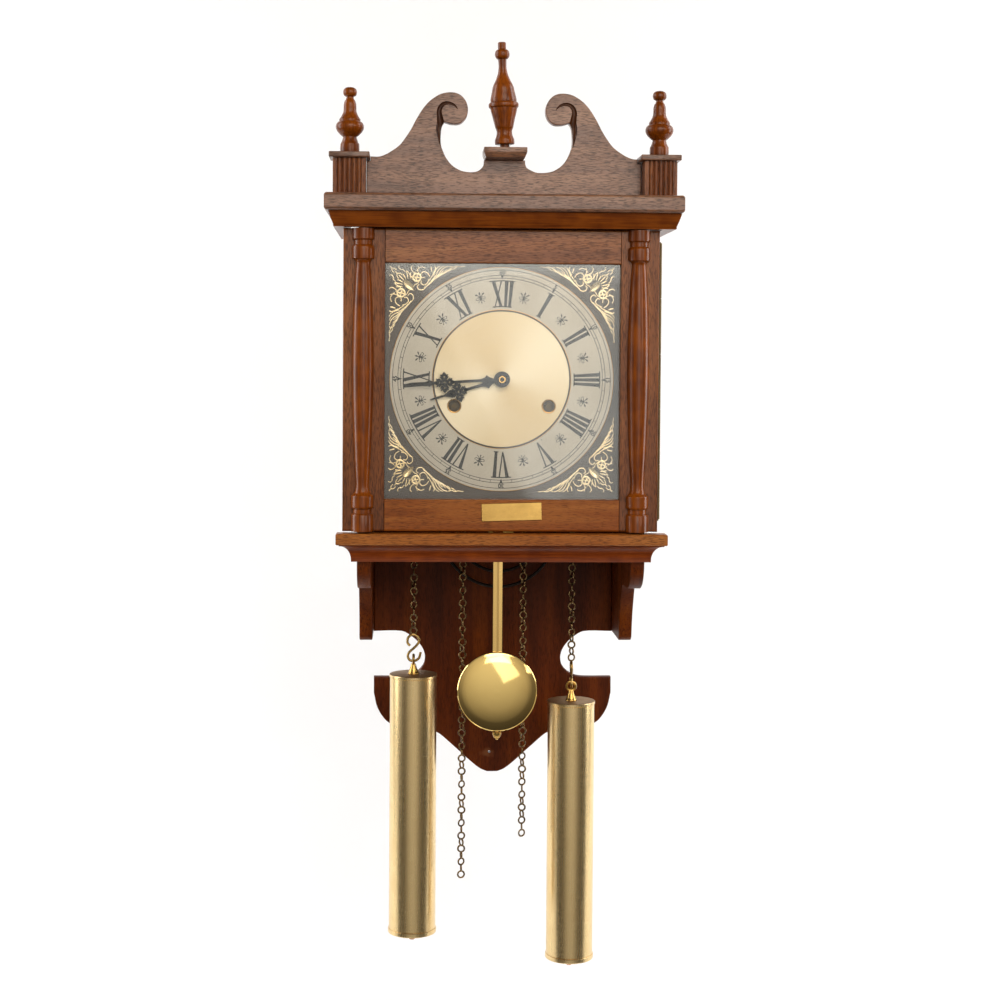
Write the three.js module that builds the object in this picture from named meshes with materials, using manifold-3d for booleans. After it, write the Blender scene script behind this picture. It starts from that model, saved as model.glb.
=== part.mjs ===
// Weight-driven style wall clock in a carved wooden case, with a square glazed door,
// a chapter-ring dial, a pendulum with a disc bob, a coil gong and two cylindrical
// weights on round-link chains. Millimetres, +X right, +Y into the wall, +Z up.
// Everything is laid out by its height above the door's bottom edge; the whole clock is
// then lowered so that the origin is on the back of the case, where it hangs.

import * as THREE from 'three';
import { mergeVertices } from 'three/addons/utils/BufferGeometryUtils.js';
import Module from 'manifold-3d';

const wasm = await Module();
wasm.setup();

// Driving dimensions
const hangHeight = 250;          // origin above the door's bottom edge
const gap = 0.3;                 // clearance between pieces that rest on each other

const backThick = 10;            // back board, its back face at y = 0
const sideOut = 129.6;           // outer face of the side panels
const sideThick = 12.3;
const sideIn = sideOut - sideThick;
const sideFront = -150.4;        // front edge of the side panels behind the door
const caseTop = 284.2;

const doorEnds = { left: -142.6, right: 140 };
const doorHigh = 270;
const doorFront = -170;
const doorBack = -152;
const openHalf = 105.5;          // glazed opening
const openLow = 28.5;
const openTop = 239.7;
const columns = { left: -124.8, right: 121.2 };  // half columns on the stiles
const hingeX = 142.2;            // door hinge pin
const hingeY = -151.2;

const corniceHalf = 159;
const corniceLow = 284.5;
const corniceHigh = 300;
const corniceFront = -192;

const dialCentre = 136.1;        // height of the hands' axis
const dialHalf = 113;            // square dial plate
const chapterOut = 101.5;        // chapter ring, 8 in
const chapterIn = 62.6;
const discR = 61.3;
const windX = 42.8;              // winding holes
const windDrop = 24.2;
const windR = 5.6;
const dialFront = -148.9;        // front of the dial plate

const plateFront = -141;         // movement plates
const plateBack = -113;

const pivotHigh = 150;           // pendulum
const rodY = -104;
const bobHigh = -156;
const bobR = 37.3;

const chainY = -72;              // plane of the chains, pulleys and weights
const chainR = 4;
const pulleyHigh = 35;
const pulleyR = 23.2;            // to the middle of the chain
const pulleys = { left: -55, right: 49 };
const weightTop = { left: -145, right: -170.6 };
const freeEnd = { left: -341.6, right: -301.9 };
const fall = 60;                 // travel of the weights, down and up
const rise = 40;
const weightLong = 246.6;
const weightR = 22.2;

const gongX = 6.8;               // coil gong
const gongHigh = -11.6;
const gongR = 66.5;
const hammerX = 14;
const hammerHigh = 98;
const hammerY = -40;

// Materials
const material = (color, roughness, metalness, more = {}) =>
  new THREE.MeshStandardMaterial({ color, roughness, metalness, ...more });
const walnut = material(0x6b3a20, 0.42, 0);
const walnutDark = material(0x45200f, 0.4, 0);
const turnedWood = material(0x84480f, 0.3, 0);
const brass = material(0xb09a62, 0.35, 1);
const polishedBrass = material(0xd8c06e, 0.12, 1);
const agedBrass = material(0x6a5634, 0.45, 1);
const blackSteel = material(0x16140f, 0.4, 0.4);
const steel = material(0x9a9a98, 0.35, 1);
const dialBlack = material(0x2a2b29, 0.5, 0.3);
const dialSilver = material(0xa8a69d, 0.35, 0.8);
const dialGold = material(0xe8d3a4, 0.3, 0.9);
const glass = material(0xffffff, 0.03, 0, { transparent: true, opacity: 0.2 });

// Geometry helpers
const box = (x0, x1, y0, y1, z0, z1) =>
  new THREE.BoxGeometry(x1 - x0, y1 - y0, z1 - z0)
    .translate((x0 + x1) / 2, (y0 + y1) / 2, (z0 + z1) / 2);

const outline = (points) => new THREE.Shape(points.map(([a, b]) => new THREE.Vector2(a, b)));

// Front-view outline (x, z) pushed back from yBack by depth towards the front
const slab = (shape, yBack, depth, curveSegments = 10) =>
  new THREE.ExtrudeGeometry(shape, { depth, bevelEnabled: false, curveSegments })
    .rotateX(Math.PI / 2).translate(0, yBack, 0);

// Side-view outline (y, z) run along x from x0 to x1
const sidewise = (shape, x0, x1) =>
  new THREE.ExtrudeGeometry(shape, { depth: x1 - x0, bevelEnabled: false })
    .applyMatrix4(new THREE.Matrix4().set(0, 0, 1, x0, 1, 0, 0, 0, 0, 1, 0, 0, 0, 0, 0, 1));

// Plan outline (x, y) raised from z0 to z1
const upright = (shape, z0, z1) =>
  new THREE.ExtrudeGeometry(shape, { depth: z1 - z0, bevelEnabled: false }).translate(0, 0, z0);

// Profile of [radius, height] turned about the vertical axis
const turned = (profile, segments = 20, start = 0, sweep = Math.PI * 2) =>
  new THREE.LatheGeometry(profile.map(([r, h]) => new THREE.Vector2(r, h)), segments, start, sweep)
    .rotateX(Math.PI / 2);

// The same, turned about an axis along y: [radius, distance towards the wall]
const turnedAlongY = (profile, segments = 24) =>
  new THREE.LatheGeometry(profile.map(([r, d]) => new THREE.Vector2(r, d)), segments);

const pin = (r, y0, y1, segments = 16) =>
  turnedAlongY([[0, y0], [r, y0], [r, y1], [0, y1]], segments);

const tube = (path, r, steps, sides = 6, closed = false) => {
  const ring = new THREE.Shape();
  ring.setFromPoints(Array.from({ length: sides }, (_, k) => {
    const a = (k / sides) * Math.PI * 2;
    return new THREE.Vector2(Math.cos(a) * r, Math.sin(a) * r);
  }));
  return new THREE.ExtrudeGeometry(ring,
    { extrudePath: path, steps, bevelEnabled: false, curveSegments: sides, closed });
};

const toSolid = (geometry) => {
  const g = geometry.clone();
  g.deleteAttribute('normal');
  g.deleteAttribute('uv');
  const merged = mergeVertices(g, 1e-4);
  return new wasm.Manifold(new wasm.Mesh({
    numProp: 3,
    vertProperties: new Float32Array(merged.attributes.position.array),
    triVerts: new Uint32Array(merged.index.array),
  }));
};

const fromSolid = (solid) => {
  const mesh = solid.getMesh();
  const g = new THREE.BufferGeometry();
  g.setAttribute('position', new THREE.BufferAttribute(mesh.vertProperties, 3));
  g.setIndex(new THREE.BufferAttribute(mesh.triVerts, 1));
  g.computeVertexNormals();
  return g;
};

const cut = (body, ...tools) =>
  fromSolid(tools.reduce((left, t) => left.subtract(toSolid(t)), toSolid(body)));
const join = (body, ...more) =>
  fromSolid(more.reduce((left, t) => left.add(toSolid(t)), toSolid(body)));
const common = (a, b) => fromSolid(toSolid(a).intersect(toSolid(b)));

const wallClock = new THREE.Group();
const laidOut = new THREE.Group();
laidOut.position.z = -hangHeight;
wallClock.add(laidOut);

const put = (name, geometry, mat, x = 0, y = 0, z = 0, parent = laidOut) => {
  const mesh = new THREE.Mesh(geometry, mat);
  mesh.name = name;
  mesh.position.set(x, y, z);
  parent.add(mesh);
  return mesh;
};

const sides = [['left', -1], ['right', 1]];

// Back board: straight to the foot of the sides, a round notch each side, then a
// shield-shaped drop that ends in a blunt point
const backHalf = sideIn - gap;
const backEdge = [
  [backHalf, caseTop], [backHalf, -114], [90, -114], [81, -118.5], [73.5, -125], [68.5, -132.5],
  [66.8, -140], [68.3, -147.5], [73, -153.5], [80.5, -158], [90, -159.5], [backHalf, -159.5],
  [backHalf, -175], [113.5, -189.5], [105.5, -202], [97, -206.8], [76, -208.5], [56, -213.5],
  [38, -228], [22, -242.5], [12, -250.3], [5, -253.2]];
const backShape = outline([...backEdge, ...backEdge.map(([x, z]) => [-x, z]).reverse()]);
const hanger = outline([[-26, 256], [26, 256], [26, 278], [-26, 278]]);
put('back_board', cut(slab(backShape, 0, backThick),
  slab(outline([[-26.3, 255.7], [26.3, 255.7], [26.3, 278.3], [-26.3, 278.3]]), 1, 3.2),
  box(-6, 6, -12, 1, 259, 275),
  pin(1.3, -12, 2, 12).translate(-3, 0, -233.6)), walnutDark);

// Steel hanger plate let into the back, with a round entry and a narrow slot above it
const keyhole = new THREE.Path();
keyhole.absarc(0, 262.5, 4.6, Math.PI * 0.68, Math.PI * 2.32, false);
keyhole.lineTo(2.4, 272);
keyhole.lineTo(-2.4, 272);
hanger.holes.push(keyhole);
put('hanger_plate', slab(hanger, -0.2, 1.6, 6), steel);

// Side panels, with an ogee foot that steps back under a nose
const sideShape = outline([
  [0, caseTop], [sideFront, caseTop], [sideFront, -1.2], [-163, -1.2], [-163, -28], [-161, -38],
  [-154, -47], [-144, -53], [-138, -55], [-97, -57], [-92, -62], [-86, -72], [-79, -85],
  [-74, -99], [-71.5, -110], [-67, -113.6], [0, -114]]);
for (const [side, s] of sides) {
  put(`side_panel_${side}`,
    sidewise(sideShape, s < 0 ? -sideOut : sideIn, s < 0 ? -sideIn : sideOut), walnut);
}

// Cornice board with eased edges, closing the top of the case
const corniceShape = outline([
  [-corniceHalf + 2, corniceLow], [corniceHalf - 2, corniceLow], [corniceHalf, corniceLow + 2],
  [corniceHalf, corniceHigh - 2], [corniceHalf - 2, corniceHigh], [-corniceHalf + 2, corniceHigh],
  [-corniceHalf, corniceHigh - 2], [-corniceHalf, corniceLow + 2]]);
put('cornice_board', common(slab(corniceShape, 0, -corniceFront), sidewise(outline([
  [0, corniceLow - 1], [corniceFront + 2, corniceLow - 1], [corniceFront, corniceLow + 2],
  [corniceFront, corniceHigh - 2], [corniceFront + 2, corniceHigh + 1], [0, corniceHigh + 1]]),
-200, 200)), walnut);

// Cornice moulding: one slanted band, mitred round the front and both sides
const bandPoints = (low, high, halfLow, halfHigh, frontLow, frontHigh, back) => [
  [-halfLow, back, low], [halfLow, back, low], [halfLow, frontLow, low], [-halfLow, frontLow, low],
  [-halfHigh, back, high], [halfHigh, back, high], [halfHigh, frontHigh, high],
  [-halfHigh, frontHigh, high]];
const hexahedron = (p) => {
  const g = new THREE.BufferGeometry();
  g.setAttribute('position', new THREE.BufferAttribute(new Float32Array(p.flat()), 3));
  g.setIndex([0, 1, 2, 0, 2, 3, 4, 6, 5, 4, 7, 6, 0, 4, 5, 0, 5, 1,
    1, 5, 6, 1, 6, 2, 2, 6, 7, 2, 7, 3, 3, 7, 4, 3, 4, 0]);
  return g;
};
put('cornice_moulding', cut(
  hexahedron(bandPoints(270.6, corniceLow - gap, 151.9, 156.2, -181.5, -187.5, -2)).translate(0.9, 0, 0),
  box(-141.5, 141.5, -172.5, 5, 260, 300)), turnedWood);

// Base moulding: flat strip over a cove, the ends shaped to the same cove
const cove = (outer, inner, sign) => Array.from({ length: 7 }, (_, k) => {
  const a = (k / 6) * Math.PI / 2;
  return [sign * (inner + (outer - inner) * (1 - Math.sin(a))), -11.5 - 14.5 * (1 - Math.cos(a))];
});
const baseFront = outline([[-163.3, -1.5], [-181, -1.5], [-181, -11.5],
  ...cove(178.5, 168, -1), [-168, -27.5], [-163.3, -27.5]]);
const baseEnds = outline([[148, -1.5], [148, -11.5], ...cove(145.5, 134.5, 1), [134.5, -27.5],
  [-134.5, -27.5], ...cove(145.5, 134.5, -1).reverse(), [-148, -11.5], [-148, -1.5]]);
put('base_moulding', common(sidewise(baseFront, -160, 160), slab(baseEnds, -150, 40)), turnedWood);

// Pediment board: two scrolls with a dip each side of a tongue for the plinth
const scroll = [
  [-122.7, corniceHigh + gap], [-122.7, 331.7], [-119.2, 331.7], [-119.2, 335.5], [-111.5, 335.5], [-105.5, 337.6], [-100.5, 340.5],
  [-95.5, 344], [-91, 348.5], [-83.5, 359.5], [-78.5, 369], [-73, 378], [-68.5, 383.6],
  [-63.5, 388], [-55.5, 392.5], [-46, 393.7], [-39, 391.5], [-34, 386], [-32, 379], [-33.5, 371.5],
  [-39, 366.2], [-46.5, 365.6], [-53, 367.3], [-55.2, 364], [-56, 358], [-56.5, 349], [-55.3, 343.5],
  [-51.5, 335], [-46, 328.3], [-39, 324], [-33, 322.6], [-27, 322.4], [-22.5, 323.6], [-19, 326.6],
  [-17.4, 330], [-17.2, 333.3]];
const drift = (x) => (x > 118 ? 2.1 : x > 30 ? 6 : x > 21 ? 4.5 : 2.5);  // the right-hand scroll stands out further
const pedimentShape = outline([...scroll,
  ...scroll.map(([x, z]) => [-x + drift(-x), z]).reverse()]);
put('pediment_board', slab(pedimentShape, -139.3, 12), walnut);

// Plinth plate with a bevelled underside, pedestals with a reeded front, and their caps
put('plinth_plate', join(box(-19.2, 19.2, -178, -139, 338, 342.3),
  hexahedron(bandPoints(333.6, 338, 17.4, 19.2, -176, -178, -139))), walnut, 0.9);
const pedestalX = { left: -137.5, right: 139.6 };
const reeds = 5;
const reedPoints = Array.from({ length: reeds * 4 }, (_, k) => {
  const a = ((k % 4) / 4) * Math.PI;
  return [-10.8 + ((k + 0.5) / (reeds * 4)) * 21.6, -173.9 - 1.3 * Math.sin(a + Math.PI / 8)];
});
const pedestalShape = outline([[14.5, -146], [-14.5, -146], [-14.5, -175], [-10.8, -175], ...reedPoints,
  [10.8, -175], [14.5, -175]]);
for (const [side] of sides) {
  put(`pedestal_${side}`, upright(pedestalShape, corniceHigh + gap, 331.7), walnut, pedestalX[side]);
  put(`pedestal_cap_${side}`, box(-18, 18, -178.5, -142.5, 332, 337), walnut, pedestalX[side]);
}

// Turned finials
const centreFinial = [
  [0, 342.6], [4.5, 342.6], [4.5, 346.4], [8.7, 347], [8.7, 350.4], [7.9, 353.5], [6.9, 357.8],
  [7.7, 360.8], [9.6, 368], [11.4, 375], [12.2, 378.6], [13.4, 380.2], [13.4, 382.2], [11.6, 384.6],
  [11.3, 387.2], [10.3, 393], [9.2, 398], [6.3, 404.2], [4.4, 409.5], [3.5, 415.5], [3.8, 422],
  [6.2, 424.6], [6.5, 427.3], [5.6, 429.8], [3.6, 431.4], [3.6, 436.6], [3.1, 437.4], [0, 437.4]];
const sideFinial = [
  [0, 337.3], [8.4, 337.3], [8.4, 345.4], [7.2, 347.8], [6.1, 351.2], [8.6, 354.6], [12.2, 358.4],
  [12.6, 361], [10.9, 364.4], [9.4, 365.2], [9.3, 367.4], [7.4, 370.2], [5.7, 374], [5.3, 380.6],
  [4, 384.4], [3.1, 386.6], [5.4, 388.4], [6.2, 391.2], [5, 394], [2.6, 395.5], [0, 395.8]];
const finialLean = -0.035;       // the tall centre finial leans a little to the left
put('finial_center', turned(centreFinial, 12).translate(0, 0, -342.6), turnedWood, 0.9, -160, 342.6)
  .rotation.y = finialLean;
for (const [side] of sides) {
  put(`finial_${side}`, turned(sideFinial, 12), turnedWood, pedestalX[side], -160.5, 0);
}

// Hinge down the right-hand edge: interleaved knuckles on one pin
const knuckle = (z0, z1, r) => turned([[0, z0], [r, z0], [r, z1], [0, z1]], 12);
const bore = (z0, z1) => turned([[0, z0], [1.4, z0], [1.4, z1], [0, z1]], 12);
const caseKnuckles = [[10, 59.7], [110.3, 159.7], [210.3, 260]];
const doorKnuckles = [[60, 110], [160, 210]];
const place = (g) => g.translate(hingeX, hingeY, 0);
put('hinge_leaf_case', join(
  cut(box(118, hingeX, -151.6, -150.7, 10, 260),
    ...doorKnuckles.map(([a, b]) => box(138, 145, -155, -148, a - gap, b + gap))),
  ...caseKnuckles.map(([a, b]) => place(knuckle(a, b, 2.1))), place(knuckle(10, 260, 1))), brass);
put('hinge_leaf_door', cut(join(box(doorEnds.right + gap, 141.1, -168, -151.4, 10, 260),
  ...doorKnuckles.map(([a, b]) => place(knuckle(a, b, 2.1)))),
...caseKnuckles.map(([a, b]) => box(138, 146, -154.5, -148, a - gap, b + gap)),
place(bore(0, 280))), brass);

// Door: full-height stiles, rails between them, glass, half columns and a name plate
for (const [side, s] of sides) {
  const [a, b] = s < 0 ? [doorEnds.left, -openHalf] : [openHalf, doorEnds.right];
  put(`door_stile_${side}`, box(a, b, doorFront, doorBack, 0, doorHigh), walnut);
}
put('door_rail_top', box(-openHalf + gap, openHalf - gap, doorFront, doorBack, openTop, doorHigh), walnut);
put('door_rail_bottom', box(-openHalf + gap, openHalf - gap, doorFront, doorBack, 0, openLow), walnut);
put('door_glass', box(-openHalf + gap, openHalf - gap, -165, -163, openLow + gap, openTop - gap), glass);
const columnProfile = [
  [0, 0.2], [10, 0.2], [10, 15.3], [8.2, 16.6], [8.2, 21], [10.1, 22.6], [10.1, 31.7], [8, 33.6],
  [6.1, 38], [6.1, 43], [7.2, 62], [8.7, 95], [9.8, 133], [9.7, 165], [8.5, 205], [7, 232],
  [6.4, 239.4], [8, 242], [10, 243.4], [10, 253.6], [8.2, 255.2], [8.2, 259.4], [10, 261], [10, 269.8],
  [0, 269.8]];
for (const [side] of sides) {
  put(`half_column_${side}`, cut(turned(columnProfile, 16), box(-20, 20, 0, 20, -5, 280)),
    turnedWood, columns[side], doorFront - gap, 0);
}
put('name_plate', box(-27, 27, -1, 0, -8, 8), polishedBrass, 8.8, doorFront - gap, 17.9)
  .rotation.y = -0.031;

// Dial: square plate on four feet, raised chapter ring and a spun centre disc
const disc = (r, holes, yBack, depth, inner = 0) => {
  const shape = new THREE.Shape();
  shape.absarc(0, dialCentre, r, 0, Math.PI * 2);
  if (inner) {
    const hole = new THREE.Path();
    hole.absarc(0, dialCentre, inner, 0, Math.PI * 2);
    shape.holes.push(hole);
  }
  for (const [x, z, hr] of holes) {
    const hole = new THREE.Path();
    hole.absarc(x, z, hr, 0, Math.PI * 2);
    shape.holes.push(hole);
  }
  return slab(shape, yBack, depth, 12);
};
const windZ = dialCentre - windDrop;
const dialHoles = [[0, dialCentre, 4.4], [-windX, windZ, windR], [windX, windZ, windR]];
const feet = [[-48, 90], [48, 90], [-48, 182], [48, 182]].map(([x, z]) =>
  box(x - 3, x + 3, dialFront + 1, plateFront - gap, z - 3, z + 3));
const dialTools = dialHoles.map(([x, z, r]) => pin(r, -160, -140, 20).translate(x, 0, z));
put('dial_plate', join(cut(box(-dialHalf, dialHalf, dialFront, dialFront + 1.5,
  dialCentre - dialHalf, dialCentre + dialHalf), ...dialTools), ...feet), dialBlack);
put('chapter_ring', disc(chapterOut, [], dialFront - gap, 1, chapterIn), dialSilver);
put('dial_center_disc', disc(discR, dialHoles, dialFront - gap, 0.7), dialGold);

// Movement: two plates joined by pillars, on a seat board, with a barrel each side
const plateBox = (y0, y1) => box(-60, 60, y0, y1, 75.3, 192);
const arborHole = (x, z, r) => pin(r, -150, -108, 12).translate(x, 0, z);
const arborHoles = [arborHole(0, dialCentre, 2.2), arborHole(-windX, windZ, 3), arborHole(windX, windZ, 3)];
put('movement_front_plate', cut(plateBox(plateFront, plateFront + 2), ...arborHoles), brass);
const pillars = [[-54, 82], [54, 82], [-54, 185], [54, 185]].map(([x, z]) =>
  pin(3.5, plateFront + 2 + gap, plateBack, 10).translate(x, 0, z));
put('movement_back_plate', cut(join(plateBox(plateBack - 2, plateBack), ...pillars,
  box(-6, 6, plateBack - 1, rodY - 2.4, 152, 166), box(-3, 3, rodY - 3, rodY + 3, 152.5, 158)),
...arborHoles), brass);
put('seat_board', box(-sideIn + gap, sideIn - gap, -146, -110.5, 60, 75), walnutDark);
const barrel = turnedAlongY([[0, -147], [2.6, -147], [2.6, -138.2], [23.5, -138.2],
  [23.5, -134.8], [21, -134.8], [21, -120], [23.5, -120], [23.5, -116], [2.6, -116], [2.6, -112.4],
  [0, -112.4]], 14);
for (const [side, s] of sides) {
  put(`winding_barrel_${side}`, barrel, brass, s * windX, 0, windZ);
}

// Motion work and hands. The hands stand at about a quarter to nine
const arbor = turnedAlongY([[0, -161.2], [2, -161], [3.3, -160.2], [3.3, -158.7], [1.7, -158.7],
  [1.7, -128], [16, -128], [16, -126.4], [1.7, -126.4], [1.7, -112.4], [0, -112.4]], 12);
put('minute_arbor', arbor, brass, 0, 0, dialCentre);
put('hour_pipe', turnedAlongY([[2.1, -155.6], [3.5, -155.6], [3.5, -146.6], [14, -146.6],
  [14, -145.2], [2.1, -145.2], [2.1, -155.6]], 12), brass, 0, 0, dialCentre);

const handShape = (long, eyeAt, eyeR, tailR, holeR) => {
  const half = [[tailR * 0.95, 0], [tailR, 2], [2.2, tailR + 1.5], [3.4, tailR + 5], [2, tailR + 9],
    [1.6, eyeAt - eyeR * 1.5], [eyeR * 0.8, eyeAt - eyeR * 0.9], [eyeR * 1.15, eyeAt],
    [eyeR * 0.8, eyeAt + eyeR * 0.9], [1.6, eyeAt + eyeR * 1.6], [2.6, eyeAt + eyeR * 2.3],
    [1.2, eyeAt + eyeR * 3], [0.5, long]];
  const shape = outline([...half, ...half.map(([x, z]) => [-x, z]).reverse(),
    [-tailR * 0.8, -tailR * 0.6], [0, -tailR], [tailR * 0.8, -tailR * 0.6]]);
  const hole = new THREE.Path();
  hole.absarc(0, 0, holeR, 0, Math.PI * 2, true);
  const eye = new THREE.Path();
  eye.absarc(0, eyeAt, eyeR * 0.62, 0, Math.PI * 2, true);
  shape.holes.push(hole, eye);
  return shape;
};
const minuteAngle = THREE.MathUtils.degToRad(266.7);
const hourAngle = THREE.MathUtils.degToRad(253.8);
put('minute_hand', slab(handShape(86.6, 51, 4.6, 5.2, 2), -156.6, 1.2, 5), blackSteel, 0, 0, dialCentre)
  .rotation.y = minuteAngle;
put('hour_hand', slab(handShape(67.9, 41, 5.6, 6, 3.8), -153.4, 1.2, 5), blackSteel, 0, 0, dialCentre)
  .rotation.y = hourAngle;

// Pendulum: flat rod on a pivot block, lens bob on a threaded end, rating nut
const rod = join(box(-4.5, 4.5, rodY - 0.8, rodY + 0.8, bobHigh - bobR + 1, 151.8),
  turned([[0, bobHigh - bobR - 8], [1.5, bobHigh - bobR - 8], [1.5, bobHigh - bobR + 6],
    [0, bobHigh - bobR + 6]], 10).translate(0, rodY, 0));
put('pendulum_rod', rod, polishedBrass);
const bobShape = turnedAlongY([[0, -7], [12, -6.6], [22, -5.5], [30, -3.9], [35, -2.4], [bobR, -1.1],
  [bobR, 0.6], [35, 2.2], [0, 3.4]], 24).translate(0, rodY, bobHigh);
put('pendulum_bob', cut(bobShape, box(-4.9, 4.9, rodY - 1.8, rodY + 1.8, -250, 100)), polishedBrass);
put('rating_nut', turned([[1.9, -0.6], [4.2, -0.6], [4.2, -3.4], [2.8, -6.4], [1.9, -6.4],
  [1.9, -0.6]].reverse(), 12), brass, 0, rodY, bobHigh - bobR);

// Coil gong on its block
put('gong_block', join(box(gongX - 12, gongX + 12, -22, -backThick - gap, gongHigh - 12, gongHigh + 12),
  pin(5, -30, -20, 12).translate(gongX, 0, gongHigh)), brass);
const gongTurns = 3.2;
const spiral = new THREE.CatmullRomCurve3(Array.from({ length: 70 }, (_, k) => {
  const t = k / 69;
  const a = Math.PI * 0.5 - t * gongTurns * Math.PI * 2;
  const r = 9 + (gongR - 9) * (0.16 + 0.84 * t) * Math.min(1, t * 12 + 0.1);
  return new THREE.Vector3(gongX + r * Math.cos(a), -27.5, gongHigh + r * Math.sin(a));
}));
put('gong_coil', tube(spiral, 1.5, 66, 5), blackSteel);

// Strike hammer hanging from a bracket above the gong
put('hammer_bracket', join(box(hammerX + 6, hammerX + 12, hammerY - 6, -backThick - gap,
  hammerHigh - 6, hammerHigh + 6), turned([[0, -8], [2, -8], [2, 8], [0, 8]], 12)
  .rotateY(Math.PI / 2).translate(hammerX, hammerY, hammerHigh)), brass);
const hammerEye = turned([[2.3, -4], [5, -4], [5, 4], [2.3, 4], [2.3, -4]], 12)
  .rotateY(Math.PI / 2).translate(hammerX, hammerY, hammerHigh);
put('strike_hammer', join(hammerEye,
  box(hammerX - 1.5, hammerX + 1.5, hammerY - 1.5, hammerY + 1.5, 52, hammerHigh - 3.6),
  pin(5.5, hammerY - 6, hammerY + 6, 12).translate(hammerX, 0, 53)), brass);

// Steel strap across the case with a pin for each chain pulley
put('pulley_bridge', join(box(-sideIn + gap, sideIn - gap, -61, -57, pulleyHigh - 10, pulleyHigh + 10),
  ...Object.values(pulleys).map((x) => pin(2, -82, -58, 16).translate(x, 0, pulleyHigh))), steel);
const pulley = turnedAlongY([[2.3, -6.5], [25, -6.5], [25, -4.4], [18.8, -4.4], [18.8, 4.4],
  [25, 4.4], [25, 6.5], [2.3, 6.5], [2.3, -6.5]], 18);

// Chains, hooks and weights, one set each side. Each straight run reaches past its pulley's axis
// by its own travel, so that it still meets the pulley at the far end of that travel
for (const [side, s] of sides) {
  const x = pulleys[side];
  const weightX = x + s * pulleyR;
  const freeX = x - s * pulleyR;
  const top = weightTop[side];
  const hookTop = top + 38.4;
  put(`pulley_${side}`, pulley, brass, x, chainY, pulleyHigh);
  const link = (z0, z1) => turned([[0, z0], [chainR, z0], [chainR, z1], [0, z1]], 8);
  put(`weight_chain_${side}`, link(hookTop + 1.6, pulleyHigh + fall), agedBrass, weightX, chainY, 0);
  put(`free_chain_${side}`, link(freeEnd[side], pulleyHigh + rise), agedBrass, freeX, chainY, 0);

  // S hook, wire 2 mm; the left one faces the front and the right one is turned
  const hookCurve = new THREE.CatmullRomCurve3([[-6, 30.4], [-5.2, 34.2], [-1.4, 37], [3, 36],
    [5.4, 32.4], [4, 28.4], [0.4, 24.4], [-4, 20.4], [-5.4, 16.6], [-3.6, 13], [0.6, 12], [5, 14.6],
    [6.8, 20.4]].map(([a, b]) => new THREE.Vector3(a, 0, b)));
  put(`weight_hook_${side}`, tube(hookCurve, 1, 20, 6), agedBrass, weightX, chainY, top)
    .rotation.z = s < 0 ? 0 : Math.PI / 2;

  // Cap with a cone and a ring for the hook, tubular shell, rimmed base with a nut
  const ringCurve = new THREE.CatmullRomCurve3(Array.from({ length: 12 }, (_, k) => {
    const a = (k / 12) * Math.PI * 2;
    return new THREE.Vector3(0, 4.2 * Math.cos(a), 13.6 + 4.2 * Math.sin(a));
  }), true);
  const cap = join(turned([[0, 0], [5.2, 0], [5.2, 1], [2, 9.6], [0, 9.6]], 16).translate(0, 0, -0.01),
    turned([[0, -2.8], [weightR + 0.6, -2.8], [weightR + 0.6, 0], [0, 0]], 20),
    tube(ringCurve, 1.3, 14, 6, true));
  put(`weight_cap_${side}`, cap, brass, weightX, chainY, top)
    .rotation.z = s < 0 ? 0 : Math.PI / 2;
  put(`weight_shell_${side}`, turned([[weightR - 1.4, -weightLong + 4], [weightR, -weightLong + 4],
    [weightR, -3.1], [weightR - 1.4, -3.1], [weightR - 1.4, -weightLong + 4]], 20),
  brass, weightX, chainY, top);
  put(`weight_base_${side}`, turned([[0, -8], [3.2, -8], [3.4, -3.6], [9, -2.4], [weightR - 2, -1.2],
    [weightR + 0.8, -0.2], [weightR + 0.8, 3.6], [0, 3.6]], 20),
  brass, weightX, chainY, top - weightLong);
}

export default wallClock;
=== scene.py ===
# Wall clock: the finer wood, brass and dial pieces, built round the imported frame.
# Sizes in the dictionaries are millimetres, and heights are measured up from the door's
# bottom edge. Everything is turned to metres as it is placed.
import math

import bmesh
import bpy
from mathutils import Matrix, Vector


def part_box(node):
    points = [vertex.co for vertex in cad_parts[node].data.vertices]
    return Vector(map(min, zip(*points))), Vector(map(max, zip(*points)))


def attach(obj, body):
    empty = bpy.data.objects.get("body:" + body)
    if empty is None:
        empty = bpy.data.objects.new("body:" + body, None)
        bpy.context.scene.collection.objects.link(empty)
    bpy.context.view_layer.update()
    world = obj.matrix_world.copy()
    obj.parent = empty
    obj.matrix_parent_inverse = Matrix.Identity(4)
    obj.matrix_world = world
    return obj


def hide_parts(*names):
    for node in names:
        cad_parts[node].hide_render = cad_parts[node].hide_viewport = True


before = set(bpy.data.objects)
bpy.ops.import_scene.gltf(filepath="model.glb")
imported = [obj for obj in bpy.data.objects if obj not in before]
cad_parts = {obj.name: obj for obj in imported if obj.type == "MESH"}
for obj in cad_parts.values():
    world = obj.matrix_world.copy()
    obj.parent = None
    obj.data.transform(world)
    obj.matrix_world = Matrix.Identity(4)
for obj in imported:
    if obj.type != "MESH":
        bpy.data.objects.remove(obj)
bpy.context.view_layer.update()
print("frame loaded")

mm = 0.001
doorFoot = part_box("door_stile_left")[0].z
dialAxis = (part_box("hour_pipe")[0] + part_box("hour_pipe")[1]) / 2


def up(height):
    return doorFoot + height * mm


# colour and node helpers

def linear(hexColour):
    parts = [int(hexColour[i:i + 2], 16) / 255 for i in (1, 3, 5)]
    return [c / 12.92 if c <= 0.04045 else ((c + 0.055) / 1.055) ** 2.4 for c in parts] + [1]


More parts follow.
